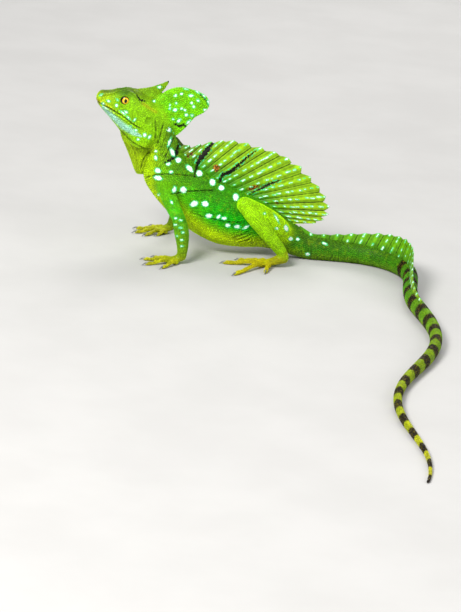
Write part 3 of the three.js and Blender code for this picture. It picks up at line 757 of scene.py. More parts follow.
def dorsal_fin_part():
    layout = ray_layout(DORSAL_RAYS, 0.07, DORSAL_COLUMNS)
    root = lambda shares: curve(in_plane(DORSAL_ROOT), shares)
    edge = lambda shares: curve(in_plane(DORSAL_EDGE), shares)
    across = lambda shares: np.tile(SIDEWAYS, (len(shares), 1))
    return fin_part(root, edge, across, layout, DORSAL_COLUMNS, rows=60, low=1.5, high=0.4,
                    ridge=0.75, scallop=2.2, seed=5)


# Where each point of the skin belongs

REGIONS = list(SCALE_PITCH)
SPINE_ROWS = len(TRUNK) + len(TAIL)


def body_parts():
    return [
        Part("spine", SPINE.refine(420), 64),
        Part("head", SKULL.refine(60), 72),
        Part("pouch", profile(POUCH).refine(30), 36),
        *limb_parts(),
    ]


def unwrap_cell(number):
    """Corner and size of a part's cell in the unwrap: small cells along the bottom quarter."""
    column, row = number % 10, number // 10
    return np.array([column * 0.1, row * 0.05]), np.array([0.095, 0.045])


def tree_of(points):
    tree = KDTree(len(points))
    for i, p in enumerate(points):
        tree.insert(p, i)
    tree.balance()
    return tree


class Guide:
    """Points over the whole body, with what the skin near each one needs to know.

    region is the part that a point is on, along its share of that part's length, height how
    far up the part's side it is from -1 to 1, lie the way its scales point, and unwrap its place
    on an unwrap of the skin.
    """

    def __init__(self, parts):
        self.rows = []
        for number, part in enumerate(parts):
            self.add_part(part, number)
        self.add_leaf("casque", CASQUE_ROOT, CASQUE_EDGE, len(parts))
        self.add_leaf("horn", HORN_ROOT, HORN_EDGE, len(parts) + 1)
        columns = [np.concatenate(column) for column in zip(*self.rows)]
        self.points, self.region, self.along, self.height, self.lie, self.unwrap = columns
        self.tree = tree_of(self.points)

    def add(self, name, points, along, height, lie, unwrap):
        region = np.full(len(points), REGIONS.index(name))
        self.rows.append((points, region, along, height, lie, unwrap))

    def add_part(self, part, number):
        grid = part.rings.points(part.sides)
        count, sides = grid.shape[:2]
        along = np.repeat(np.linspace(0, 1, count), sides)
        turn = np.tile(np.arange(sides) / sides, count)
        lie = np.repeat(directions(part.rings.centre), sides, axis=0)
        if part.name == "spine":
            strip = np.minimum((along * 4).astype(int), 3)
            unwrap = np.stack([(strip + turn * 0.97) / 4, 0.26 + (along * 4 - strip) * 0.73], 1)
        else:
            corner, size = unwrap_cell(number)
            unwrap = corner + np.stack([turn, along], 1) * size
        self.add(part.name, grid.reshape(-1, 3), along, np.sin(turn * 2 * np.pi), lie, unwrap)

    def add_leaf(self, name, root_line, edge_line, number):
        s = np.linspace(0, 1, 40)
        roots, edges = leaf_lines(root_line, edge_line, len(s))
        out = unit(edges - roots)
        corner, size = unwrap_cell(number)
        for t in np.linspace(0.1, 1, 30):
            for side in (-1, 1):
                unwrap = corner + np.stack([s * 0.5 + 0.25 * (side + 1), s * 0 + t], 1) * size
                places = lerp(roots, edges, t) + SIDEWAYS * side * 1.5
                self.add(name, places, np.full(len(s), t), np.full(len(s), 0.5), out, unwrap)

    def find(self, points):
        return np.array([self.tree.find(p)[1] for p in points])


PARTS = body_parts()
GUIDE = Guide(PARTS)


def on_part(labels, *names):
    """Whether each point, known by its nearest guide point, is on one of the named parts."""
    return np.isin(GUIDE.region[labels], [REGIONS.index(name) for name in names])


# Skin

JOINTS = [  # x, y outwards, z and radius of where one part grows softly out of another
    [-57, 17, 58, 17], [-68, 0, 99, 17], [-66, 9, 108, 12], [-80, 4, 97, 9], [-44, 42, 39, 8],
    [-44, 46, 8, 8], [50, 12, 27, 20], [16, 34, 52, 9], [56, 35, 10, 8], [70, 0, 16, 14],
    [-70, 2, 120, 10],
]
JOINT_SPAN = (0.55, 1.1)  # of a joint's radius, over which its softness ends
JOINT_EASE, JOINT_ROUNDS = 0.7, 60
VOXEL_EASE, VOXEL_ROUNDS = 0.5, 3  # smooths the remesh's steps away


def eased(values, edges, weights, rounds):
    """Values drawn towards their neighbours' mean, each by its own weight."""
    a, b = edges.T
    n = len(values)
    degree = np.maximum(np.bincount(a, minlength=n) + np.bincount(b, minlength=n), 1)
    for _ in range(rounds):
        total = [np.bincount(a, column[b], n) + np.bincount(b, column[a], n)
                 for column in values.T]
        mean = np.stack(total, 1) / degree[:, None]
        values = values + weights[:, None] * (mean - values)
    return values


def skin_mesh():
    """One closed skin over the trunk, head, limbs and tail, before it is softened."""
    parts = [loft(part.rings, part.sides) for part in PARTS] + head_details()
    parts.append(leaf_part(CASQUE_ROOT, CASQUE_EDGE, low=6, high=0.85))
    parts.append(leaf_part(HORN_ROOT, HORN_EDGE, low=3, high=0.8))
    skin = make_object("skin", parts)
    remesh = skin.modifiers.new("even", "REMESH")
    remesh.mode = "VOXEL"
    remesh.voxel_size = SKIN_VOXEL
    remesh.adaptivity = 0
    bpy.context.view_layer.update()
    graph = bpy.context.evaluated_depsgraph_get()
    even = bpy.data.meshes.new_from_object(skin.evaluated_get(graph))
    skin.modifiers.clear()
    skin.data = even
    return skin


def as_floats(values):
    """Numbers in one row, as meshes take them."""
    return values.astype(np.float32).ravel()


def read(rows, key, width, kind):
    """One value of every point or edge of a mesh, width numbers each."""
    flat = np.empty(len(rows) * width, kind)
    rows.foreach_get(key, flat)
    return flat.reshape(-1, width)


def read_points(mesh):
    return from_row(read(mesh.vertices, "co", 3, np.float32))


def write_points(mesh, points):
    mesh.vertices.foreach_set("co", as_floats(to_row(points)))
    mesh.update()


def read_normals(mesh):
    return read(mesh.vertex_normals, "vector", 3, np.float32).astype(float)


def read_edges(mesh):
    return read(mesh.edges, "vertices", 2, np.int32)


# Places in the photograph, in its pixels, and the picture's own plane

PICTURE_ORIGIN = (245.8, -229.5)  # where the animal's middle and the floor fall, rolled level


def at_photo(pixels):
    """Pixels of the photograph as mm in the picture's plane: along the floor and up."""
    p = np.atleast_2d(np.asarray(pixels, float))
    c, s = math.cos(CAMERA_ROLL), math.sin(CAMERA_ROLL)
    along = c * p[:, 0] + s * p[:, 1] - PICTURE_ORIGIN[0]
    up = s * p[:, 0] - c * p[:, 1] - PICTURE_ORIGIN[1]
    return np.stack([along, up], 1) * PIXEL


def in_picture(points):
    """Points of the animal in the picture's plane, with the far side as the near one's mirror."""
    height = points[:, 2] * math.cos(CAMERA_HEIGHT)
    return np.stack([points[:, 0], height - np.abs(points[:, 1]) * math.sin(CAMERA_HEIGHT)], 1)


def one_side(points):
    """Points with y counted outwards from the middle plane."""
    return np.stack([points[:, 0], np.abs(points[:, 1]), points[:, 2]], 1)


def unmarked(places):
    """The distance to marks where there are none yet."""
    return np.full(len(places), FAR)


def flat_curve(points, count):
    """A smooth 2-D curve through points."""
    return curve(in_plane(points), np.linspace(0, 1, count))[:, [0, 2]]


def distance_to_line(places, line):
    """Distance from 2-D places to a line of points, and how far along the line, in mm."""
    line = np.asarray(line, float)
    best = np.full(len(places), np.inf)
    along = np.zeros(len(places))
    run = 0.0
    for a, b in zip(line[:-1], line[1:]):
        span = b - a
        length = max(np.linalg.norm(span), 1e-6)
        t = np.clip((places - a) @ span / length ** 2, 0, 1)
        d = np.linalg.norm(places - a - t[:, None] * span, axis=1)
        nearer = d < best
        best = np.where(nearer, d, best)
        along = np.where(nearer, run + t * length, along)
        run += length
    return best, along


def distance_to_spots(places, spots):
    """Signed distance in mm to the nearest spot: rows of px, py, half-length, half-width, turn."""
    best = unmarked(places)
    for px, py, long, wide, turn in spots:
        off = places - at_photo((px, py))[0]
        a = math.radians(turn)
        u = (off[:, 0] * math.cos(a) + off[:, 1] * math.sin(a)) / (long * PIXEL)
        v = (off[:, 1] * math.cos(a) - off[:, 0] * math.sin(a)) / (wide * PIXEL)
        best = np.minimum(best, (np.hypot(u, v) - 1) * wide * PIXEL)
    return best


def distance_to_bars(places, bars):
    """Signed distance in mm to the nearest bar: rows of px, py, half-width."""
    best = unmarked(places)
    for bar in bars:
        line = flat_curve(at_photo([p[:2] for p in bar]), 8 * len(bar))
        off, along = distance_to_line(places, line)
        runs = np.linspace(0, run_along(line)[-1], len(bar))
        half = np.interp(along, runs, [p[2] * PIXEL for p in bar])
        wavering = 0.85 + 0.3 * np.sin(along * 1.9) * np.sin(along * 0.7 + 1)
        best = np.minimum(best, off - half * wavering)
    return best


# Markings, measured in the photograph. Spots are px, py, half-length, half-width and turn in
# degrees. Bars are px, py and half-width along each of them.

HEAD_SPOTS = [
    [102.4, 97.3, 1.4, 0.7, 30], [109.9, 103.3, 1.6, 0.8, -15], [104.4, 105.7, 1.5, 0.8, -20],
    [117.9, 107.7, 1.4, 1.1, 90], [119, 102.5, 1.2, 0.6, -50], [124.3, 114.9, 2.4, 0.8, -30],
    [127.5, 114.1, 1.6, 0.9, -30], [129.5, 120, 1.8, 0.8, -40], [135.5, 122, 1.4, 0.8, 45],
    [145.7, 136.8, 1.9, 1.6, 90], [150.4, 138.8, 1.6, 0.9, 50], [139, 141.2, 1.2, 1, 0],
    [137, 132, 1.1, 0.8, 0], [132, 128, 1, 0.7, 0],
]
CASQUE_SPOTS = [
    [160.2, 89.4, 1.6, 1, 10], [176.1, 97.7, 1.3, 1.2, 0], [182.1, 96.1, 1.2, 1.1, 0],
    [191.3, 97.7, 2, 1.1, 0], [198.5, 102.5, 1.6, 1, -30], [176.9, 105.1, 1.2, 1, -40],
    [191.9, 104.9, 1.1, 1, 0], [194.1, 108.5, 1.3, 1.3, 0], [170.5, 107.3, 1, 0.7, 90],
    [170.5, 110.5, 1, 0.7, 90], [175.7, 111.7, 1.8, 1.5, 0], [182.1, 110.5, 1.1, 1, 0],
    [185.3, 111.8, 1.3, 0.9, -30], [186.9, 116.5, 1.5, 1.4, 0], [192.5, 116.9, 1.2, 0.9, 0],
    [179.3, 122, 2, 1.3, 50], [188.9, 123.2, 2.2, 1, 50], [205.5, 111.5, 1.6, 1.1, 0],
    [154.9, 103.2, 1, 0.8, 0], [173.6, 120.8, 1, 0.8, 0], [186.5, 91.3, 1.4, 0.6, -8],
    [197.5, 93.8, 2, 0.6, -35], [204, 97.8, 2.2, 0.6, -45], [208.4, 103.5, 2, 0.6, -80],
    [207.4, 113.5, 1.6, 0.7, 40], [203, 117.5, 1.4, 0.6, 35],
]
BODY_SPOTS = [
    [161, 124.5, 1.4, 0.8, 90], [169.2, 130.8, 2.4, 2, -30], [176, 133.5, 1.5, 0.9, 20],
    [170.1, 143.6, 3.8, 1.1, 75], [172.9, 153.5, 3.9, 1.9, -65], [178.7, 161, 2.8, 2.6, 0],
    [156.6, 152.4, 1.2, 1.1, 0], [156.4, 158.7, 2.1, 1.4, -70], [168.9, 165.1, 2, 1.4, 15],
    [158.2, 171.5, 3, 2.3, -10], [171.5, 172.9, 1.7, 1.4, 0], [158.6, 178.7, 4, 2, -8],
    [189.7, 169.1, 4.2, 2, -38], [199.6, 173.9, 2.9, 2.9, 0], [174.8, 190.6, 3, 1.7, 80],
    [183.7, 190.6, 3.1, 2.9, 0], [159, 195, 1.2, 1, 0], [212.7, 182.6, 3.4, 2.7, -80],
    [221.5, 188.2, 2.7, 2.6, 0], [235.8, 197.4, 3.4, 2.8, -80], [194.2, 204.4, 3.8, 2.6, 25],
    [205.3, 204.4, 3.3, 2.6, 0], [209, 216.4, 3, 2.1, 0], [218.7, 217.3, 2.3, 1.6, 30],
    [224.2, 218.7, 2.4, 1.5, 0], [227.7, 225.7, 2.2, 1.7, 0], [237.4, 227, 2.8, 1.6, 0],
    [246, 227.5, 3, 1.2, 35],
]
HIP_SPOTS = [
    [276.5, 219.2, 3.6, 0.8, -55], [286.2, 228.4, 3, 1.9, -65], [290.7, 238.8, 1.9, 1.6, 0],
    [298, 239, 1.5, 1.3, 0], [308, 254, 1.9, 1.3, 0], [264.5, 214.5, 1.1, 0.8, 0],
    [276.5, 228.8, 1.4, 1, 0], [313.5, 233, 1.6, 1, -30], [325, 243.5, 2.2, 1, -20],
]
LIMB_SPOTS = [
    [172.3, 203.5, 1.5, 0.9, -60], [176.5, 219.5, 1.3, 0.9, 0], [181.5, 221.5, 1.2, 0.8, 0],
    [176, 226, 1.6, 0.8, 0], [181.5, 229, 1.2, 0.7, 0], [183.5, 233.5, 1.2, 0.9, 0],
    [178, 237, 1, 0.7, 0], [182.8, 241, 1.1, 0.7, 0], [182.5, 247, 1.1, 0.8, 0],
]
BODY_BARS = [
    [[178.5, 146, 0.8], [177, 152.5, 2.6], [172.5, 160, 1.6], [165, 163.5, 0.8]],
    [[213, 144, 1.6], [204.5, 154.5, 3.1], [198.5, 162, 2.6], [196.5, 169, 1.4],
     [194.3, 178, 1]],
    [[256.6, 150.7, 0.5], [247, 158, 1.2], [240, 163.7, 1.4], [230.7, 171.5, 2.2],
     [222.4, 175.5, 1.9], [219.5, 183, 1]],
    [[280, 180.4, 0.4], [269.8, 184.4, 1.6], [258.4, 189.8, 1.2], [249.2, 194.4, 0.6]],
]
HEAD_BARS = [
    [[175.5, 125.4, 1.1], [180, 127.4, 1.5], [183.5, 126, 1.2], [187.5, 128.8, 1.1]],
    [[200.5, 96.5, 0.5], [205.5, 100.5, 1.1], [208.2, 106, 0.6]],
    [[168.6, 83.6, 0.9], [171, 85.5, 1.1]],
    [[138, 97, 0.6], [141, 102, 1.1], [145.5, 103.3, 0.6]],
]
# Folds of the skin: px, py points, then depth and half-width in mm
FOLDS = [
    [[[120, 129.7], [125.9, 136.4], [134.7, 144.4], [144.2, 149.2], [151, 149.8]], 0.7, 0.65],
    [[[151.4, 150.8], [145, 157.9], [141.8, 165.9], [141, 171]], 0.6, 0.65],
    [[[156.2, 119.7], [156.8, 132], [155.4, 145]], 0.6, 0.9],
    [[[165, 122.8], [161.5, 135], [157, 148]], 0.7, 0.8],
    [[[175.3, 136.4], [168.2, 152.4], [163.4, 164]], 0.7, 0.8],
    [[[160.3, 121], [159.4, 134], [156.4, 146.5]], 0.32, 0.55],
    [[[170, 127], [164.8, 142], [159.3, 154]], 0.36, 0.6],
    [[[172.8, 132], [167, 147.5], [161, 159]], 0.3, 0.55],
    [[[153, 117], [153.4, 130], [152.6, 141]], 0.3, 0.6],
    [[[124, 139], [129, 150], [133, 163]], 0.25, 0.8],
    [[[130, 143], [136, 155], [138, 168]], 0.25, 0.8],
    [[[144, 178.4], [158, 175.7], [175, 175.2], [194, 177]], 0.75, 0.65],
    [[[169, 195.4], [190, 192.2], [216.8, 190.5]], 0.9, 0.7],
    [[[190, 212.7], [204, 217.2], [217.8, 220.5], [232, 222.6], [247.5, 222]], 0.62, 0.55],
    [[[231, 238.5], [243, 234.5], [251, 229.5]], 0.62, 0.55],
    [[[234, 240.5], [246, 237], [253, 232.5]], 0.62, 0.55],
    [[[238, 242.2], [248, 239.7], [254, 236]], 0.62, 0.55],
    [[[245, 209], [248.5, 219], [251, 228]], 0.5, 1.2],
]
HEAD_FOLDS = [
    [[[119.7, 107.6], [123.5, 109.3], [128.5, 109.4], [132.4, 106.5]], 0.3, 0.4],
    [[[118.5, 110.2], [124, 112.2], [130, 111.8]], 0.25, 0.4],
    [[[133.5, 92], [137, 97], [141, 102.5], [146, 103.5]], 0.5, 0.6],
    [[[146.5, 114], [151.5, 113.2], [154.5, 116], [155, 122]], 0.3, 0.6],
]
FOLDED = [(FOLDS, ("spine", "pouch", "head", "arm")), (HEAD_FOLDS, ("head",))]
FOLD_ENDS = (-1, 5)  # mm from a fold's end, over which it deepens
FOLD_FULL = 0.65  # mm of depth at which a fold's painted shade is darkest
FOLD_SWELL = 0.35  # height of the roll beside a fold, against the fold's depth
SPOTTED = [  # each table of spots, and the parts that carry them
    (HEAD_SPOTS, ("head",)), (CASQUE_SPOTS, ("casque", "horn", "head")),
    (BODY_SPOTS, ("spine", "pouch", "arm")), (HIP_SPOTS, ("spine", "thigh", "shank")),
    (LIMB_SPOTS, ("arm", "forearm")),
]
BARRED = [(BODY_BARS, ("spine",)), (HEAD_BARS, ("casque", "horn", "head"))]
NOSTRIL = [-121.6, 7.2, 136.0]
NOSTRIL_HOLE, NOSTRIL_RIM = 0.75, 1.7  # radii
EAR_DRUM, EAR_RIM = 3.3, 3.6  # radii
MOUTH_CORNER = -83.5
LABIAL_PITCH = 3.1  # mm from one scale of the lip to the next
LABIAL_RISE = 1.9  # mm from the mouth's line to their middle
JAW_STRIPE = [[104, 109], [112, 116.5], [124, 127.5], [135, 134.5], [142, 138]]
JAW_STRIPE_HALF = [1.2, 2.6, 3.3, 2.9, 1.0]
CHEEK_TINGE = [[144, 106], [150.6, 110.5], [156.5, 114]]


def srgb(colour):
    """A screen colour, 0 to 255, as linear light."""
    c = np.asarray(colour, float) / 255
    return np.where(c <= 0.04045, c / 12.92, ((c + 0.055) / 1.055) ** 2.4)


def paint(*colour):
    """A screen colour for a socket of a material."""
    return tuple(srgb(colour))


SPINE_COLOURS = [  # row along the spine, then the back, the flank and the belly
    [0, (96, 148, 6), (134, 188, 6), (176, 220, 4)],
    [2.5, (94, 148, 6), (136, 200, 6), (176, 222, 4)],
    [4, (78, 156, 6), (92, 196, 4), (194, 234, 4)],
    [5.5, (62, 160, 8), (22, 196, 6), (204, 242, 4)],
    [7, (78, 166, 6), (12, 194, 6), (210, 244, 4)],
    # Rows 9 to 16, about the hips and the start of the tail, are darker all round: they hold
    # painted shade.
    [9, (84, 146, 6), (64, 150, 8), (132, 176, 8)],
    [11, (74, 126, 8), (62, 134, 8), (100, 146, 8)],
    [16, (72, 130, 10), (66, 142, 10), (98, 148, 14)],
    [24, (84, 152, 12), (80, 162, 12), (120, 160, 20)],
    [40, (140, 172, 12), (132, 176, 14), (160, 176, 30)],
    [SPINE_ROWS - 1, (206, 200, 16), (206, 204, 20), (210, 204, 40)],
]
LIMB_COLOURS = {  # at the root and at the end
    "arm": [(132, 196, 8), (58, 200, 12)],
    "forearm": [(78, 182, 12), (140, 170, 12)],
    "hand": [(160, 184, 14), (178, 188, 14)],
    "finger": [(186, 194, 14), (206, 202, 30)],
    "thigh": [(204, 252, 4), (156, 232, 4)],
    "shank": [(184, 254, 2), (142, 196, 8)],
    "foot": [(176, 180, 12), (196, 190, 12)],
    "toe": [(202, 194, 10), (210, 202, 26)],
    "pouch": [(164, 204, 8), (184, 222, 10)],
    "casque": [(120, 220, 6), (140, 238, 6)],
    "horn": [(140, 208, 8), (140, 190, 12)],
}
BACK_SPAN = (0.15, 0.75)  # height up the side where the flank turns into the back
BELLY_SPAN = (0.12, 0.55)  # the same downwards, for the belly
HEAD_TOP = (104, 136, 8)
HEAD_SIDE = (156, 226, 8)
HEAD_SNOUT = (192, 230, 20)
HEAD_UNDER = (166, 214, 6)
BROW_TONE = (66, 128, 14)
LIP_WARM = (214, 176, 30)
CYAN = (186, 255, 220)
FRONT_SPAN = (104, 120)  # mm forward, where the side of the head turns into the snout
LIP_SPAN = (106, 120)  # mm forward, where the upper lip's orange tinge sets in
TOP_SPAN = (0.45, 0.85)  # how far the skin looks up where the side turns into the top
UNDER_SPAN = (0.2, 0.7)
BROW_PATCH = (9, 3.2)  # half-length and half-height of the dark patch over the eye
BROW_PATCH_RISE = 5.5
COLOUR_EASE, COLOUR_ROUNDS = 0.8, 40  # softens the colours where one part meets the next
FOLD_SHADE = 0.82  # how much darker painted shade makes the bottom of a fold
UNSEEN = 20  # mm that a mark is put off where the photograph doesn't look
TAIL_BANDS_FROM = 92.0
BEHIND_HIPS = 60.0
BAND_PERIOD = (23.0, 30.0)  # mm, near the body and at the tip
BAND_HALF = (0.22, 0.27)  # of the period, near the body and at the tip


def on_curve(rows, at, column):
    """The colour in one column of rows, between rows, at places along them."""
    stops = [r[0] for r in rows]
    tones = np.array([srgb(r[column]) for r in rows])
    return np.stack([np.interp(at, stops, tones[:, k]) for k in range(3)], 1)


def blend(a, b, share):
    return a + (np.asarray(b) - a) * np.asarray(share)[:, None]


def tail_run(points):
    """How far along the tail each point lies, in mm."""
    return distance_to_line(points[:, :2], TAIL[:, 1:3])[1]


def spine_colours(along, height):
    """The back's, the flank's and the belly's colours, blended round the body."""
    at = along * (SPINE_ROWS - 1)
    back, flank, belly = (on_curve(SPINE_COLOURS, at, column) for column in (1, 2, 3))
    colour = blend(flank, back, smoothstep(height, *BACK_SPAN))
    return blend(colour, belly, smoothstep(-height, *BELLY_SPAN))


def head_colours(points, normals):
    x, z = points[:, 0], points[:, 2]
    looks_up = normals[:, 2]
    colour = np.tile(srgb(HEAD_SIDE), (len(points), 1))
    colour = blend(colour, srgb(HEAD_SNOUT), smoothstep(-x, *FRONT_SPAN))
    colour = blend(colour, srgb(HEAD_TOP), smoothstep(looks_up, *TOP_SPAN))
    colour = blend(colour, srgb(HEAD_UNDER), smoothstep(-looks_up, *UNDER_SPAN))
    wide, high = BROW_PATCH
    off = np.hypot((x - EYE[0]) / wide, (z - EYE[2] - BROW_PATCH_RISE) / high)
    return blend(colour, srgb(BROW_TONE), 0.75 * (1 - smoothstep(off, 0.5, 1.2)))


def ground_colours(points, normals, labels):
    """The skin's colour before its markings."""
    along = GUIDE.along[labels]
    colour = spine_colours(along, GUIDE.height[labels])
    for name, (root, end) in LIMB_COLOURS.items():
        tone = blend(np.tile(srgb(root), (len(points), 1)), srgb(end), along)
        colour = np.where(on_part(labels, name)[:, None], tone, colour)
    return np.where(on_part(labels, "head")[:, None], head_colours(points, normals), colour)


def fold_lines(points, labels):
    """How deep each point lies in a fold, 0 to 1, which also sets its painted shade, and how far
    the folds push it, in mm.
    """
    places = in_picture(points)
    deep, push = np.zeros(len(points)), np.zeros(len(points))
    for folds, parts in FOLDED:
        where = on_part(labels, *parts)
        for line, depth, width in folds:
            line = flat_curve(at_photo(line), 24)
            off, along = distance_to_line(places[where], line)
            left = run_along(line)[-1] - along
            ends = smoothstep(along, *FOLD_ENDS) * smoothstep(left, *FOLD_ENDS)
            here = depth * ends * (0.8 + 0.3 * np.sin(along * 0.9 + depth * 40))
            dip = bell(off, width)
            swell = bell(off - 2.2 * width, 1.3 * width)
            deep[where] = np.maximum(deep[where], dip * np.minimum(1, here / FOLD_FULL))
            push[where] += here * (FOLD_SWELL * swell - dip)
    return deep, push


def mouth_offset(points):
    """Distance up from the line of the mouth and along it, in mm."""
    line = flat_curve(MOUTH, 40)
    d, along = distance_to_line(points[:, [0, 2]], line)
    above = np.interp(points[:, 0], line[:, 0], line[:, 1]) < points[:, 2]
    return np.where(above, d, -d), along


def mouth_relief(points):
    """Push of the mouth and of the scales along its lips, and the distance to the mouth's line,
    which is painted black as shade.
    """
    x = points[:, 0]
    up, along = mouth_offset(points)
    behind = smoothstep(x, MOUTH_CORNER - 1, MOUTH_CORNER + 1.5)
    groove = bell(up, 0.6) * (1 - behind)
    labial = bell(np.abs(up) - LABIAL_RISE, 1.3) * (1 - behind)
    half = LABIAL_PITCH / 2
    seam = bell((along + 1.5) % LABIAL_PITCH - half, 0.42)
    faint = smoothstep(x, MOUTH_CORNER - 24, MOUTH_CORNER - 8)
    line_width = lerp(0.34, 0.1, faint)
    return -0.85 * groove - 0.28 * labial * seam, np.abs(up) - line_width + behind * 9


def nostril_relief(points):
    """Push of each nostril's hole and rim, and the distance to the hole, which is painted black as
    shade.
    """
    off = np.linalg.norm(one_side(points) - NOSTRIL, axis=1)
    return 0.35 * bell(off - NOSTRIL_RIM, 0.6) - bell(off, 0.8), off - NOSTRIL_HOLE


def ear_relief(points):
    """Push of each ear's sunken drum and its rim."""
    off = np.hypot(points[:, 0] - EAR[0], (points[:, 2] - EAR[1]) * 0.8)
    rim = 0.35 * bell(off - EAR_RIM, 0.7)
    drum = 0.8 * (1 - smoothstep(off, EAR_DRUM - 1.1, EAR_DRUM))
    return smoothstep(np.abs(points[:, 1]), 8, 11) * (rim - drum)


def head_relief(points, labels):
    """Push of the mouth, its scales, the nostrils and the ears, and the distance to the mouth's
    line and the nostrils' holes, painted black as shade.
    """
    on_head = on_part(labels, "head")
    mouth, mouth_shade = mouth_relief(points)
    nostril, nostril_shade = nostril_relief(points)
    push = mouth + nostril + ear_relief(points)
    dark = np.minimum(np.minimum(mouth_shade, nostril_shade), FAR)
    return np.where(on_head, push, 0), np.where(on_head, dark, FAR)


def band_distance(points, labels):
    """Signed distance in mm to the tail's dark bands, below 0 inside one."""
    s = tail_run(points)
    past = np.maximum(0, s - TAIL_BANDS_FROM)
    share = np.clip(past / (TAIL_LENGTH - TAIL_BANDS_FROM), 0, 1)
    period = lerp(*BAND_PERIOD, share)
    place = past / lerp(BAND_PERIOD[0], period, 0.5) % 1
    distance = (np.abs(place - 0.5) - lerp(*BAND_HALF, share)) * period
    tail = on_part(labels, "spine") & (s > TAIL_BANDS_FROM) & (points[:, 0] > BEHIND_HIPS)
    return np.where(tail, distance, FAR)


def nearest_mark(places, labels, tables, distance):
    """Signed distance in mm to the nearest mark of several tables, each on its own parts."""
    best = unmarked(places)
    for marks, parts in tables:
        where = on_part(labels, *parts)
        best[where] = np.minimum(best[where], distance(places[where], marks))
    return best


def markings(points, facing, labels):
    """The attributes that the skin's material draws its markings from, in mm, with the painted
    shade of the mouth's line and the nostrils among the dark ones.
    """
    places = in_picture(points)
    hidden = (1 - smoothstep(facing, 0.02, 0.2)) * UNSEEN
    spot = nearest_mark(places, labels, SPOTTED, distance_to_spots) + hidden
    bar = nearest_mark(places, labels, BARRED, distance_to_bars) + hidden
    # dark holds the black bars, and the painted shade of the mouth's line and of the nostrils'
    # holes
    dark = np.minimum(bar, head_relief(points, labels)[1])
    return {"spot": spot, "dark": dark, "band": band_distance(points, labels)}


def toward_viewer(points, normals):
    """How squarely each point faces the photograph's viewer, each side seen from its own side."""
    out = normals[:, 1] * np.sign(points[:, 1])
    return out * math.cos(CAMERA_HEIGHT) + normals[:, 2] * math.sin(CAMERA_HEIGHT)


def jaw_stripe(points, labels):
    """Share of the pale stripe along the lower jaw."""
    line = at_photo(JAW_STRIPE)
    off, along = distance_to_line(in_picture(points), line)
    half = np.interp(along, run_along(line), JAW_STRIPE_HALF) * PIXEL
    share = 1 - smoothstep(off, half * 0.4, half * 1.35)
    return np.where(on_part(labels, "head", "pouch"), share, 0)


def lip_warmth(points, labels):
    """Share of the orange tinge along the front of the upper lip and behind the eye."""
    up, _ = mouth_offset(points)
    lip = 0.7 * bell(up - 1.2, 1.1) * smoothstep(-points[:, 0], *LIP_SPAN)
    off, _ = distance_to_line(in_picture(points), at_photo(CHEEK_TINGE))
    return np.where(on_part(labels, "head"), np.maximum(lip, 0.45 * bell(off, 1.6)), 0)


def write_attributes(mesh, **columns):
    """Numbers or colours of every point, by the names that the materials know them by."""
    for name, values in columns.items():
        kind, key = "FLOAT", "value"
        if values.ndim == 2:
            kind, key = "FLOAT_COLOR", "color"
            values = np.concatenate([values, np.ones((len(values), 1))], 1)
        layer = mesh.attributes.new(name, kind, "POINT")
        layer.data.foreach_set(key, as_floats(values))


def softened(points, edges):
    """The skin's points with its joints eased and the remesh's steps smoothed away."""
    soft = np.zeros(len(points))
    for *joint, radius in JOINTS:
        near = np.linalg.norm(one_side(points) - joint, axis=1) / radius
        soft = np.maximum(soft, JOINT_EASE * (1 - smoothstep(near, *JOINT_SPAN)))
    points = eased(points, edges, soft, JOINT_ROUNDS)
    return eased(points, edges, np.full(len(points), VOXEL_EASE), VOXEL_ROUNDS)


def skin_colours(points, normals, labels, edges, deep):
    """The skin's colour without its spots, bars and bands, with painted shade at the bottom of its
    folds.
    """
    colour = ground_colours(points, normals, labels)
    colour = eased(colour, edges, np.full(len(points), COLOUR_EASE), COLOUR_ROUNDS)
    colour = blend(colour, srgb(LIP_WARM), lip_warmth(points, labels))
    colour = blend(colour, srgb(CYAN), jaw_stripe(points, labels))
    return colour * (1 - FOLD_SHADE * deep)[:, None]


def build_skin():
    """The skin, folded and marked, and what the scales need to know of each of its points."""
    skin = skin_mesh()
    mesh = skin.data
    edges = read_edges(mesh)
    points = softened(read_points(mesh), edges)
    write_points(mesh, points)
    labels = GUIDE.find(points)  # the nearest guide point of each
    normals = read_normals(mesh)
    facing = toward_viewer(points, normals)
    seen = smoothstep(facing, -0.1, 0.25)
    deep, push = [values * seen for values in fold_lines(points, labels)]
    push = push + head_relief(points, labels)[0]
    points = points + normals * push[:, None]
    points[:, 2] = np.maximum(points[:, 2], 0)
    write_points(mesh, points)
    normals = read_normals(mesh)
    colour = skin_colours(points, normals, labels, edges, deep)
    marks = markings(points, facing, labels)
    # The skin's ground keeps its folds' painted shade and takes GAP_SHADE's painted shade between
    # the scales
    write_attributes(mesh, ground=colour * GAP_SHADE, **marks)
    return skin, {"points": points, "normals": normals, "labels": labels, "ground": colour,
                  "facing": facing, "deep": deep}


# Scales

# One scale: along, across and up, in its own pitch. Six points round it and two on its keel.
SCALE_POINTS = np.array([
    [-0.6, 0, -0.2], [-0.2, 0.47, -0.1], [0.3, 0.4, -0.06], [0.72, 0, 0.1],
    [0.3, -0.4, -0.06], [-0.2, -0.47, -0.1], [-0.22, 0, 0.16], [0.44, 0, 0.27],
])
SCALE_FACES = np.array([
    [0, 6, 1], [1, 6, 2], [6, 7, 2], [2, 7, 3], [3, 7, 4], [7, 6, 4], [4, 6, 5], [5, 6, 0],
    [0, 1, 5], [1, 2, 5], [2, 4, 5], [2, 3, 4],
])
SCALE_PATCH = 0.003  # of the unwrap
COAT_LIMIT = 15000  # scales in one piece
GAP_SHADE = 0.55  # painted shade: brightness of the skin between scales, against the scales themselves
ROW_REACH = 1.5  # mm from a place in a row to the skin, beyond which it carries no scale
ROW_GAP, FILL_GAP = 0.74, 0.86  # least distance to other scales, against the pitch
CELL = 2  # mm, of the grid that scales are looked up in
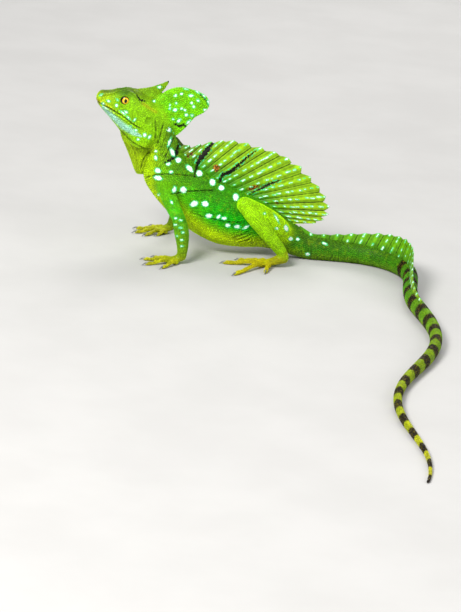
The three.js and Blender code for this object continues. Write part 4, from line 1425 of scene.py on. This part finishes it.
SIZE_SPREAD, RISE_SPREAD, TONE_SPREAD = (0.9, 1.08), (0.85, 1.15), (0.84, 1.3)
FLAT_SCALED = ("head", "pouch", "casque", "horn")
FLAT_RISE = 0.75
LOWEST = 0.02  # mm over the floor
BROW_RISE, PLATE_RISE = 0.6, 1.75  # mm of the plates from the brow's and the mouth's lines
PLATES = [  # line on the skull, its rise and the plates' size, in mm
    (MOUTH[1:], PLATE_RISE, 2.5), (MOUTH[1:], -PLATE_RISE, 2.5), (BROW, BROW_RISE, 2.0),
]
PLATE_PITCH = 0.95  # against a plate's size
PLATE_OUT = 0.6  # mm out of the skull
BARE_LIPS, BARE_MOUTH, BARE_BROW = 2.7, 0.55, 0.9  # mm from their lines without small scales
LID_OUTER, BARE_LIDS = [0, 4.5, 0], 4.4  # the lids' middle from the eye's, and the bare radius
BARE_FOLD = 0.55  # share of a fold's depth, past which it carries no scale
BARE_HEIGHT = 0.35  # mm over the floor


def plate_places():
    """Places of the larger plates along the lips and the brow."""
    for line, rise, size in PLATES:
        for x, z in flat_curve(line, round(run_along(line)[-1] / size / PLATE_PITCH)):
            for side in (-1, 1):
                out = skull_half_width(x, z + rise) + PLATE_OUT
                yield (x, side * out, z + rise), size


def scale_roots(skin):
    """Skin points that carry a scale, in neat rows and then filled in between, and its size."""
    points = skin["points"]
    tree = tree_of(points)
    rows = []
    for part in PARTS:
        for place in part.rows():
            _, index, off = tree.find(place)
            if off < ROW_REACH:
                rows.append((index, ROW_GAP))
    fill = np.random.default_rng(11).permutation(len(points))
    pitch = np.array(list(SCALE_PITCH.values()))[GUIDE.region[skin["labels"]]]
    bare = bare_skin(skin)
    taken, kept = {}, []
    for index, gap in rows + [(int(i), FILL_GAP) for i in fill]:
        if bare[index]:
            continue
        p = points[index]
        cell = tuple(int(value // CELL) for value in p)
        if not near_taken(taken, cell, p, pitch[index] * gap):
            taken.setdefault(cell, []).append(tuple(p))
            kept.append(index)
    plates = [(tree.find(place)[1], size) for place, size in plate_places()]
    roots = np.array([index for index, _ in plates] + kept)
    return roots, np.concatenate([[size for _, size in plates], pitch[kept]])


def near_taken(taken, cell, p, reach):
    """Whether a scale already stands within reach of p."""
    a, b, c = cell
    limit = reach * reach
    for i in (a - 1, a, a + 1):
        for j in (b - 1, b, b + 1):
            for k in (c - 1, c, c + 1):
                for q in taken.get((i, j, k), ()):
                    if (q[0] - p[0]) ** 2 + (q[1] - p[1]) ** 2 + (q[2] - p[2]) ** 2 < limit:
                        return True
    return False


def bare_skin(skin):
    """Where no scale stands: deep folds, mouth, nostrils, ears, under the plates, on the floor."""
    points = skin["points"]
    x, z = points[:, 0], points[:, 2]
    aside = one_side(points)
    on_head = on_part(skin["labels"], "head")
    up = np.abs(mouth_offset(points)[0])
    lips = on_head & (up < BARE_LIPS) & (x < MOUTH_CORNER - 2)
    mouth = on_head & (up < BARE_MOUTH) & (x < MOUTH_CORNER)
    brow_line = flat_curve(BROW, 20) + [0, BROW_RISE]
    brow = distance_to_line(points[:, [0, 2]], brow_line)[0] < BARE_BROW
    brow &= on_head & (aside[:, 1] > 5)
    nostril = np.linalg.norm(aside - NOSTRIL, axis=1) < NOSTRIL_HOLE + 0.35
    ear = on_head & (np.hypot(x - EAR[0], z - EAR[1]) < EAR_DRUM - 0.2)
    lids = np.linalg.norm(aside - EYE - LID_OUTER, axis=1) < BARE_LIDS
    folded, low = skin["deep"] > BARE_FOLD, z < BARE_HEIGHT
    return folded | lips | mouth | brow | nostril | ear | lids | low


def build_coat(skin):
    """Scales over the skin as a few joined meshes, each point marked as the skin under it."""
    roots, sizes = scale_roots(skin)
    random = np.random.default_rng(23)
    pieces = []
    for number in range(math.ceil(len(roots) / COAT_LIMIT)):
        own = slice(number * COAT_LIMIT, (number + 1) * COAT_LIMIT)
        pieces.append(coat_piece(skin, roots[own], sizes[own], random, number + 1))
    return pieces


def scale_corners(skin, index, sizes, rises):
    """Corners of scales that stand on the skin and point along their part of the body."""
    up = skin["normals"][index]
    lie = GUIDE.lie[skin["labels"][index]]
    lie = lie - up * np.sum(lie * up, axis=1)[:, None]
    lie /= np.maximum(np.linalg.norm(lie, axis=1), 1e-6)[:, None]
    ways = ((lie, sizes), (np.cross(up, lie), sizes), (up, rises))
    points = skin["points"][index][:, None] + sum(
        way[:, None] * (SCALE_POINTS[:, axis] * stretch[:, None])[..., None]
        for axis, (way, stretch) in enumerate(ways))
    points[..., 2] = np.maximum(points[..., 2], LOWEST)
    return points.reshape(-1, 3)


def triangle_mesh(name, points, faces):
    mesh = bpy.data.meshes.new(name)
    mesh.vertices.add(len(points))
    mesh.vertices.foreach_set("co", as_floats(to_row(points)))
    mesh.loops.add(faces.size)
    mesh.loops.foreach_set("vertex_index", faces.ravel().astype(np.int32))
    mesh.polygons.add(len(faces))
    mesh.polygons.foreach_set("loop_start", np.arange(len(faces), dtype=np.int32) * 3)
    mesh.update()
    mesh.validate()
    return mesh


def coat_piece(skin, index, sizes, random, number):
    labels = skin["labels"][index]
    count, corners = len(index), len(SCALE_POINTS)
    sizes = sizes * random.uniform(*SIZE_SPREAD, count)
    flatness = np.where(on_part(labels, *FLAT_SCALED), FLAT_RISE, 1.0)
    rises = flatness * sizes * random.uniform(*RISE_SPREAD, count)
    tones = random.uniform(*TONE_SPREAD, count)[:, None]
    points = scale_corners(skin, index, sizes, rises)
    faces = (SCALE_FACES[None] + (np.arange(count) * corners)[:, None, None]).reshape(-1, 3)
    mesh = triangle_mesh(f"scales_{number}", points, faces)
    ground = np.repeat(skin["ground"][index] * tones, corners, axis=0)
    facing = np.repeat(skin["facing"][index], corners)
    marks = markings(points, facing, np.repeat(labels, corners))
    write_attributes(mesh, ground=ground, **marks)
    patch = SCALE_POINTS[:, [1, 0]] * SCALE_PATCH
    places = (GUIDE.unwrap[labels][:, None] + patch).reshape(-1, 2)[faces.ravel()]
    mesh.uv_layers.new(name="OFBake").data.foreach_set("uv", as_floats(places))
    return placed(f"scales_{number}", mesh)


# Materials

class Graph:
    """Short ways to add and link the nodes of one material."""

    def __init__(self, name):
        self.material = bpy.data.materials.new(name)
        self.material.use_nodes = True
        self.nodes = self.material.node_tree.nodes
        self.links = self.material.node_tree.links
        self.shader = self.nodes["Principled BSDF"]

    def put(self, socket, value):
        if isinstance(value, bpy.types.NodeSocket):
            self.links.new(value, socket)
        elif socket.type == "RGBA":
            socket.default_value = (*value, 1)
        else:
            socket.default_value = value

    def math(self, operation, *values):
        node = self.nodes.new("ShaderNodeMath")
        node.operation = operation
        for socket, value in zip(node.inputs, values):
            self.put(socket, value)
        return node.outputs[0]

    def mix(self, share, a, b, how="MIX"):
        node = self.nodes.new("ShaderNodeMix")
        node.data_type = "RGBA"
        node.blend_type = how
        self.put(node.inputs[0], share)
        self.put(node.inputs[6], a)
        self.put(node.inputs[7], b)
        return node.outputs[2]

    def shaded(self, colour, shade):
        """A colour made darker or lighter by a number."""
        grey = self.nodes.new("ShaderNodeCombineColor")
        for socket in grey.inputs[:3]:
            self.put(socket, shade)
        return self.mix(1.0, colour, grey.outputs[0], "MULTIPLY")

    def attribute(self, name, output="Fac"):
        node = self.nodes.new("ShaderNodeAttribute")
        node.attribute_name = name
        return node.outputs[output]

    def texture(self, kind, output, **settings):
        """A texture of the object's own space."""
        node = self.nodes.new(kind)
        place = self.nodes.new("ShaderNodeTexCoord").outputs["Object"]
        self.put(node.inputs["Vector"], place)
        for key, value in settings.items():
            node.inputs[key].default_value = value
        return node.outputs[output]

    def noise(self, scale, detail, roughness=0.55):
        return self.texture("ShaderNodeTexNoise", "Fac", Scale=scale, Detail=detail,
                            Roughness=roughness)

    def cells(self, scale):
        return self.texture("ShaderNodeTexVoronoi", "Distance", Scale=scale)

    def span(self, value, low, high, start=0.0, end=1.0):
        """Value from low to high as start to end, held beyond them."""
        node = self.nodes.new("ShaderNodeMapRange")
        node.interpolation_type = "SMOOTHSTEP"
        for key, number in (("Value", value), ("From Min", low), ("From Max", high),
                            ("To Min", start), ("To Max", end)):
            self.put(node.inputs[key], number)
        return node.outputs[0]

    def uneven(self, start, end, *noise):
        """Noise drawn out to run from start to end."""
        return self.span(self.noise(*noise), 0.3, 0.7, start, end)

    def within(self, distance, inner, outer, most=1.0):
        """Most where a signed distance is below inner, and nothing beyond outer."""
        return self.span(distance, inner, outer, most, 0.0)

    def frayed(self, name, amount, *noise):
        """An attribute in mm, moved by noise by up to half of amount."""
        fray = self.math("MULTIPLY_ADD", self.noise(*noise), amount, -amount / 2)
        return self.math("ADD", self.attribute(name), fray)

    def bump(self, height, strength, distance):
        node = self.nodes.new("ShaderNodeBump")
        self.put(node.inputs["Height"], height)
        node.inputs["Strength"].default_value = strength
        node.inputs["Distance"].default_value = distance
        self.links.new(node.outputs[0], self.shader.inputs["Normal"])

    def finish(self, colour, roughness, **constants):
        self.put(self.shader.inputs["Base Color"], colour)
        self.put(self.shader.inputs["Roughness"], roughness)
        for key, value in constants.items():
            self.shader.inputs[key.replace("_", " ")].default_value = value
        return self.material


WHITE = paint(238, 252, 246)
SPOT_RIM = paint(60, 216, 132)
BLACK = paint(14, 16, 8)
BAND, BAND_SPECK = paint(24, 16, 6), paint(176, 158, 22)
YELLOW_FLUSH = paint(170, 200, 10)
RUST, ORANGE = paint(88, 46, 14), paint(204, 128, 40)
# Painted shade in the folds between a fin's rays
FIN_FOLD_SHADE = paint(30, 46, 6)
GOLDS = paint(246, 190, 6), paint(255, 228, 60)
IRIS_EDGE, EYE_BLACK = paint(244, 164, 4), paint(20, 12, 4)
PUPIL_BLACK = (0.002, 0.002, 0.002)
CLAW_TONES, CLAW_STREAK = (paint(146, 148, 128), paint(44, 40, 40)), paint(190, 192, 206)
FLOOR_TONES = paint(190, 188, 184), paint(195, 193, 189)
RAGGED = 6.5  # mm of noise at the edge of marks, half of it at the edge of spots


def marked(g, base):
    """Base colour with its white spots and black marks drawn over it; on the skin the black also
    paints the shade of the mouth's line and of the nostrils.
    """
    dark = g.frayed("dark", RAGGED, 800, 4, 0.7)
    spot = g.frayed("spot", RAGGED / 2, 800, 4, 0.7)
    colour = g.mix(g.within(dark, -0.2, 0.3), base, BLACK)
    colour = g.mix(g.within(spot, 0.15, 0.75, 0.9), colour, SPOT_RIM)
    return g.mix(g.within(spot, -0.3, 0.12), colour, WHITE)


def skin_material(name, grain):
    """Green scaly skin: uneven in tone, flushed yellow, with the tail's bands and the marks, and
    painted shade at the borders of its small cells.
    """
    g = Graph(name)
    cells = g.cells(900)
    patches = g.math("MULTIPLY", g.uneven(0.8, 1.16, 120, 4), g.uneven(0.9, 1.1, 1400, 2))
    # patches are uneven tone; the cells' borders are darkened as painted shade between the
    # granules
    shade = g.math("MULTIPLY", patches, g.span(cells, 0.25, 0.75, 1.06, 0.8))
    base = g.shaded(g.attribute("ground", "Color"), shade)
    flush = g.span(g.noise(260, 5, 0.65), 0.52, 0.72, 0.0, 0.3)
    base = g.mix(flush, base, YELLOW_FLUSH)
    band = g.frayed("band", 9.0, 330, 5, 0.7)
    band_tone = g.mix(g.span(g.noise(1100, 2), 0.6, 0.68), BAND, BAND_SPECK)
    base = g.mix(g.within(band, -0.8, 0.6), base, band_tone)
    g.bump(g.math("SUBTRACT", 1.0, cells), grain, 0.0005)
    return g.finish(marked(g, base), g.uneven(0.36, 0.54, 500, 2), Specular_IOR_Level=0.14)


def fin_material(name):
    """Thin skin over rays: worn patches, painted shade in the folds, a pale fringe round the bars,
    and marks.
    """
    g = Graph(name)
    base = g.shaded(g.attribute("ground", "Color"), g.uneven(0.72, 1.2, 300, 5, 0.6))
    rust = g.mix(g.span(g.noise(650, 3), 0.5, 0.62), RUST, ORANGE)
    base = g.mix(g.within(g.frayed("worn", 5.0, 450, 4), -0.6, 1.0, 0.95), base, rust)
    # painted shade in the folds between the rays
    base = g.mix(g.within(g.frayed("fold", 0.8, 500, 2), 0.0, 0.55, 0.9), base, FIN_FOLD_SHADE)
    bar = g.attribute("dark")
    fringe = g.math("MULTIPLY", g.span(bar, 0.1, 0.5), g.within(bar, 0.9, 1.5))
    fringe = g.math("MULTIPLY", fringe, g.span(g.noise(420, 2), 0.48, 0.56))
    base = g.mix(fringe, base, SPOT_RIM)
    g.bump(g.cells(1000), -0.5, 0.0004)
    return g.finish(marked(g, base), g.uneven(0.38, 0.55, 500, 2), Specular_IOR_Level=0.2)


def eye_material():
    """Wet gold iris, darker at its edge, round a black pupil. Both are known by radii in mm."""
    g = Graph("eye_gloss")
    iris, pupil = g.attribute("iris"), g.attribute("pupil")
    colour = g.mix(g.uneven(0.0, 1.0, 1500, 4, 0.7), *GOLDS)
    colour = g.mix(g.span(iris, 1.8, 3.1), colour, IRIS_EDGE)
    colour = g.mix(g.span(iris, 2.75, 3.05), colour, EYE_BLACK)
    colour = g.mix(g.within(pupil, 1.4, 1.65), colour, PUPIL_BLACK)
    return g.finish(colour, 0.2, Specular_IOR_Level=0.2, Coat_Weight=0.45, Coat_Roughness=0.04)


def claw_material():
    """Streaked horn, dark towards the tip."""
    g = Graph("claw_horn")
    colour = g.mix(g.attribute("share"), *CLAW_TONES)
    streak = g.math("MULTIPLY", g.uneven(0.0, 1.0, 1800, 3), 0.3)
    colour = g.mix(streak, colour, CLAW_STREAK)
    g.bump(g.noise(2500, 2), 0.3, 0.0003)
    return g.finish(colour, 0.32, Specular_IOR_Level=0.5)


def floor_material():
    g = Graph("floor")
    colour = g.mix(g.uneven(0.0, 1.0, 9, 4), *FLOOR_TONES)
    return g.finish(colour, 0.85, Specular_IOR_Level=0.2)


def finish_piece(piece, material, slot, *nodes):
    piece.data.materials.append(material)
    piece.data.polygons.foreach_set("use_smooth", [True] * len(piece.data.polygons))
    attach(piece, "root")
    if nodes:
        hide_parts(*nodes)


# Fins, as pieces

DORSAL_GREENS = [(66, 150, 14), (142, 190, 14), (84, 128, 12), (156, 194, 12)]
TAIL_GREENS = [(70, 136, 12), (104, 170, 14), (80, 150, 12), (150, 186, 16)]
DASH_HALF, DASH_WIDE, DASH_ASIDE = (0.3, 1.6), (0.4, 0.75), (-0.6, 0.6)  # mm, least and most
TIP_DOT = (0.5, 1.1)
# widths of the painted shade in the folds between rays, in mm
FOLD_WIDE = (0.05, 0.7)
WORN_SPOTS = [
    [216.6, 168.4, 3.5, 3.1, 0], [253, 187.5, 5.5, 2.2, 20], [187.3, 159, 4.5, 1.2, 80],
    [191.5, 154.5, 1.6, 1.4, 0], [277, 203, 1.8, 1.2, 0],
]


def dash_distance(looks, seed, gap):
    """Signed distance to pale dashes along each ray, in mm. gap is least to most between them."""
    random = np.random.default_rng(seed)
    best = unmarked(looks["up"])
    for ray in range(looks["ray"].max() + 1):
        own = looks["ray"] == ray
        up, off = looks["up"][own], looks["off"][own]
        longest = up.max()
        d = unmarked(up)
        at = random.uniform(3, gap[1])
        while at < longest - 2:
            half, wide = random.uniform(*DASH_HALF), random.uniform(*DASH_WIDE)
            aside = random.uniform(*DASH_ASIDE)
            beyond = np.maximum(np.abs(up - at) - half, 0)
            d = np.minimum(d, np.hypot(beyond, off - aside) - wide)
            at += random.uniform(*gap)
        tip = np.hypot(up - (longest - 1.2), off) - random.uniform(*TIP_DOT)
        best[own] = np.minimum(d, tip)
    return best


def fin_colours(looks, greens):
    """Greens of the root, edge, front and rear, lighter along each ray's middle, with painted
    shade in the grooves beside each ray.
    """
    share, ray, pitch = looks["share"], looks["ray"], looks["pitch"]
    root, edge, front, rear = [np.tile(srgb(green), (len(share), 1)) for green in greens]
    ahead = ray / ray.max()
    tone = blend(root, edge, smoothstep(share, 0.05, 0.6))
    tone = blend(tone, front, 0.8 * (1 - smoothstep(ahead, 0.02, 0.22)))
    tone = blend(tone, rear, 0.7 * smoothstep(ahead, 0.55, 1) * smoothstep(share, 0.2, 0.7))
    off = np.abs(looks["off"])
    middle = bell(off, 0.14 * pitch + 0.2)
    # groove is painted shade in the grooves beside each ray
    groove = bell(off - 0.27 * pitch, 0.3) * smoothstep(pitch, 1.8, 3.2)
    return tone * (0.9 + 0.36 * middle - 0.42 * groove)[:, None]


def fold_shade_distance(looks, seed):
    """Signed distance in mm to the painted shade in the fold between two rays, uneven from ray to
    ray.
    """
    random = np.random.default_rng(seed)
    wide = random.uniform(*FOLD_WIDE, looks["ray"].max() + 1)[looks["ray"]]
    wide = wide * smoothstep(looks["share"], 0.12, 0.4) * np.where(looks["off"] > 0, 1, 0.35)
    return looks["pitch"] / 2 - np.abs(looks["off"]) - wide + 0.1


def build_fin(name, part, material, nodes, seed, gap, bars, worn, greens):
    """A fin as a piece, with the attributes that its material draws from."""
    points, quads, looks = part
    fin = make_object(name, [(points, quads)])
    places = in_picture(read_points(fin.data))
    dark = distance_to_bars(places, bars)
    write_attributes(
        fin.data, ground=fin_colours(looks, greens), fold=fold_shade_distance(looks, seed + 1),
        spot=np.maximum(dash_distance(looks, seed, gap), 1.0 - dark), dark=dark,
        worn=distance_to_spots(places, worn))
    finish_piece(fin, material, "fins", *nodes)


def build_fins():
    material = fin_material("fin_skin")
    build_fin("dorsal_fin_vane", dorsal_fin_part(), material, ["dorsal_fin"], seed=31,
              gap=(4, 9.5), bars=BODY_BARS, worn=WORN_SPOTS, greens=DORSAL_GREENS)
    build_fin("tail_fin_vane", tail_fin_part(), material,
              ["tail_fin_1", "tail_fin_2", "tail_fin_3"], seed=47, gap=(5, 10), bars=[],
              worn=[], greens=TAIL_GREENS)


# Eyes and claws

EYE_TURN = math.radians(11)  # how far the eyes look back from straight sideways
CORNEA_RISE, CORNEA_WIDTH = 0.4, 2.6
PUPIL_SHAPE = (1.15, 0.8)  # narrower and taller than round
BEHIND_EYE = 9.0  # mm, put on the radii of the ball's hidden half
CLAW_RINGS, CLAW_SIDES = 20, 14
CLAW_SINK = 0.9  # mm that a claw starts inside its digit
CLAW_ARCH = 0.75
CLAW_TIP = 0.14  # height of its tip


def build_eye(side, name):
    """One eyeball with its cornea, turned back a little, on the left (-1) or right (1) side."""
    points, faces = ellipsoid((0, 0, 0), [EYE_RADIUS] * 3, segments=96, rings_count=64)
    x, y, z = np.array(points)[:, [0, 2, 1]].T
    gaze = np.hypot(x, z)
    behind = np.where(y > 0, 0, BEHIND_EYE)
    y = y + np.where(y > 0, CORNEA_RISE * bell(gaze, CORNEA_WIDTH), 0)
    pupil = np.hypot(x * PUPIL_SHAPE[0], z * PUPIL_SHAPE[1])
    c, s = math.cos(EYE_TURN), math.sin(EYE_TURN)
    ball = np.stack([x * c + y * s, side * (y * c - x * s), z], 1) + EYE * [1, side, 1]
    piece = make_object(name + "_ball", [(ball, faces)])
    write_attributes(piece.data, iris=gaze + behind, pupil=pupil + behind)
    return piece


def claw(rows, along):
    """A curved claw from the end of a digit down to the floor."""
    end = np.array(rows[-1][:3])
    radius = rows[-1][3] / DIGIT[-1][2]
    stations = []
    for u in np.linspace(0, 1, 10):
        place = end + along * (-CLAW_SINK + (CLAW_LENGTH + CLAW_SINK) * u)
        rise = CLAW_ARCH * math.sin(math.pi * min(1, u * 1.25)) * (1 - 0.3 * u)
        width = lerp(0.62, 0.1, u ** 1.3) * radius * 0.75
        low = lerp(radius * 0.85, CLAW_TIP, u ** 1.5)
        place[2] = max(low + rise, width * 1.25 + 0.03)
        stations.append([*place, width * 0.8, width * 1.2])
    return loft(limb_rings(stations, level_across(along)).refine(CLAW_RINGS), CLAW_SIDES)


def build_claws():
    digits = [digit for _, _, digits in PAWS.values() for digit in digits]
    piece = make_object("claws", [claw(rows, along) for rows, along in digits])
    share = np.repeat(np.linspace(0, 1, CLAW_RINGS + 1), CLAW_SIDES)
    write_attributes(piece.data, share=np.tile(share, len(digits)))
    return piece


# The whole animal

FLESH = ["head", "neck", "trunk", "hips", "throat_pouch", "crest_front", "crest_rear"]
FLESH += [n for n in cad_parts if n.startswith("tail_") and "fin" not in n]
FLESH += [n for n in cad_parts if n.endswith(("_left", "_right")) and "eye" not in n]

skin, skin_data = build_skin()
finish_piece(skin, skin_material("skin_soft", 0.5), "skin_green", *FLESH)
scale_look = skin_material("skin_scales", 0.25)
for piece in build_coat(skin_data):
    finish_piece(piece, scale_look, "skin_green")
build_fins()
eye_look = eye_material()
for side, name in ((-1, "eye_left"), (1, "eye_right")):
    finish_piece(build_eye(side, name), eye_look, "eyes", name)
finish_piece(build_claws(), claw_material(), "feet")


# Studio

MIDDLE = [0, -60, 40]
LOOK_AT = [9.5, -160.8, 0]
BODY_DEPTH = 134.0  # mm that the body lies behind the point looked at
SENSOR = 36.0
FLOOR_SIZE, FLOOR_GAP = 12, 0.0004  # metres
SKY, SKY_STRENGTH = (0.93, 0.95, 1, 1), 0.5
LAMPS = [  # name, place in metres, size and power
    ("key", (-0.9, -1.3, 1.5), 0.8, 50),
    ("fill", (1.5, -1.0, 0.9), 1.2, 11),
    ("back", (0.3, 1.5, 1.4), 1.0, 18),
]


def add_area(name, off, size, power):
    """A round lamp, off metres from the animal's middle and turned towards it."""
    light = bpy.data.lights.new(name, "AREA")
    light.shape = "DISK"
    light.size = size
    light.energy = power
    lamp = placed(name, light)
    lamp.location = Vector(to_row(MIDDLE)) + Vector(off)
    lamp.rotation_euler = (-Vector(off)).to_track_quat("-Z", "Y").to_euler()


def add_studio():
    bpy.ops.mesh.primitive_plane_add(size=FLOOR_SIZE, location=(0, 0, -FLOOR_GAP))
    floor = bpy.context.object
    floor.name = "studio_floor"
    floor.data.materials.append(floor_material())
    world = bpy.data.worlds.new("studio")
    bpy.context.scene.world = world
    world.use_nodes = True
    background = world.node_tree.nodes["Background"]
    background.inputs["Color"].default_value = SKY
    background.inputs["Strength"].default_value = SKY_STRENGTH
    for lamp in LAMPS:
        add_area(*lamp)


def add_camera():
    """The photograph's view: level azimuth, looking down a little, rolled."""
    camera = bpy.data.cameras.new("camera")
    camera.sensor_fit = "VERTICAL"
    camera.sensor_height = SENSOR
    camera.lens = SENSOR * (CAMERA_DISTANCE + BODY_DEPTH) / (PICTURE_HEIGHT * PIXEL)
    camera.clip_end = 50
    forward = Vector((0, math.cos(CAMERA_HEIGHT), -math.sin(CAMERA_HEIGHT)))
    rig = placed("camera", camera)
    rig.location = Vector(to_row(LOOK_AT)) - forward * CAMERA_DISTANCE / 1000
    level = forward.to_track_quat("-Z", "Y").to_matrix()
    rig.rotation_euler = (level @ Matrix.Rotation(CAMERA_ROLL, 3, "Z")).to_euler()
    bpy.context.scene.camera = rig


add_studio()
add_camera()
bpy.context.scene.view_settings.view_transform = "Standard"
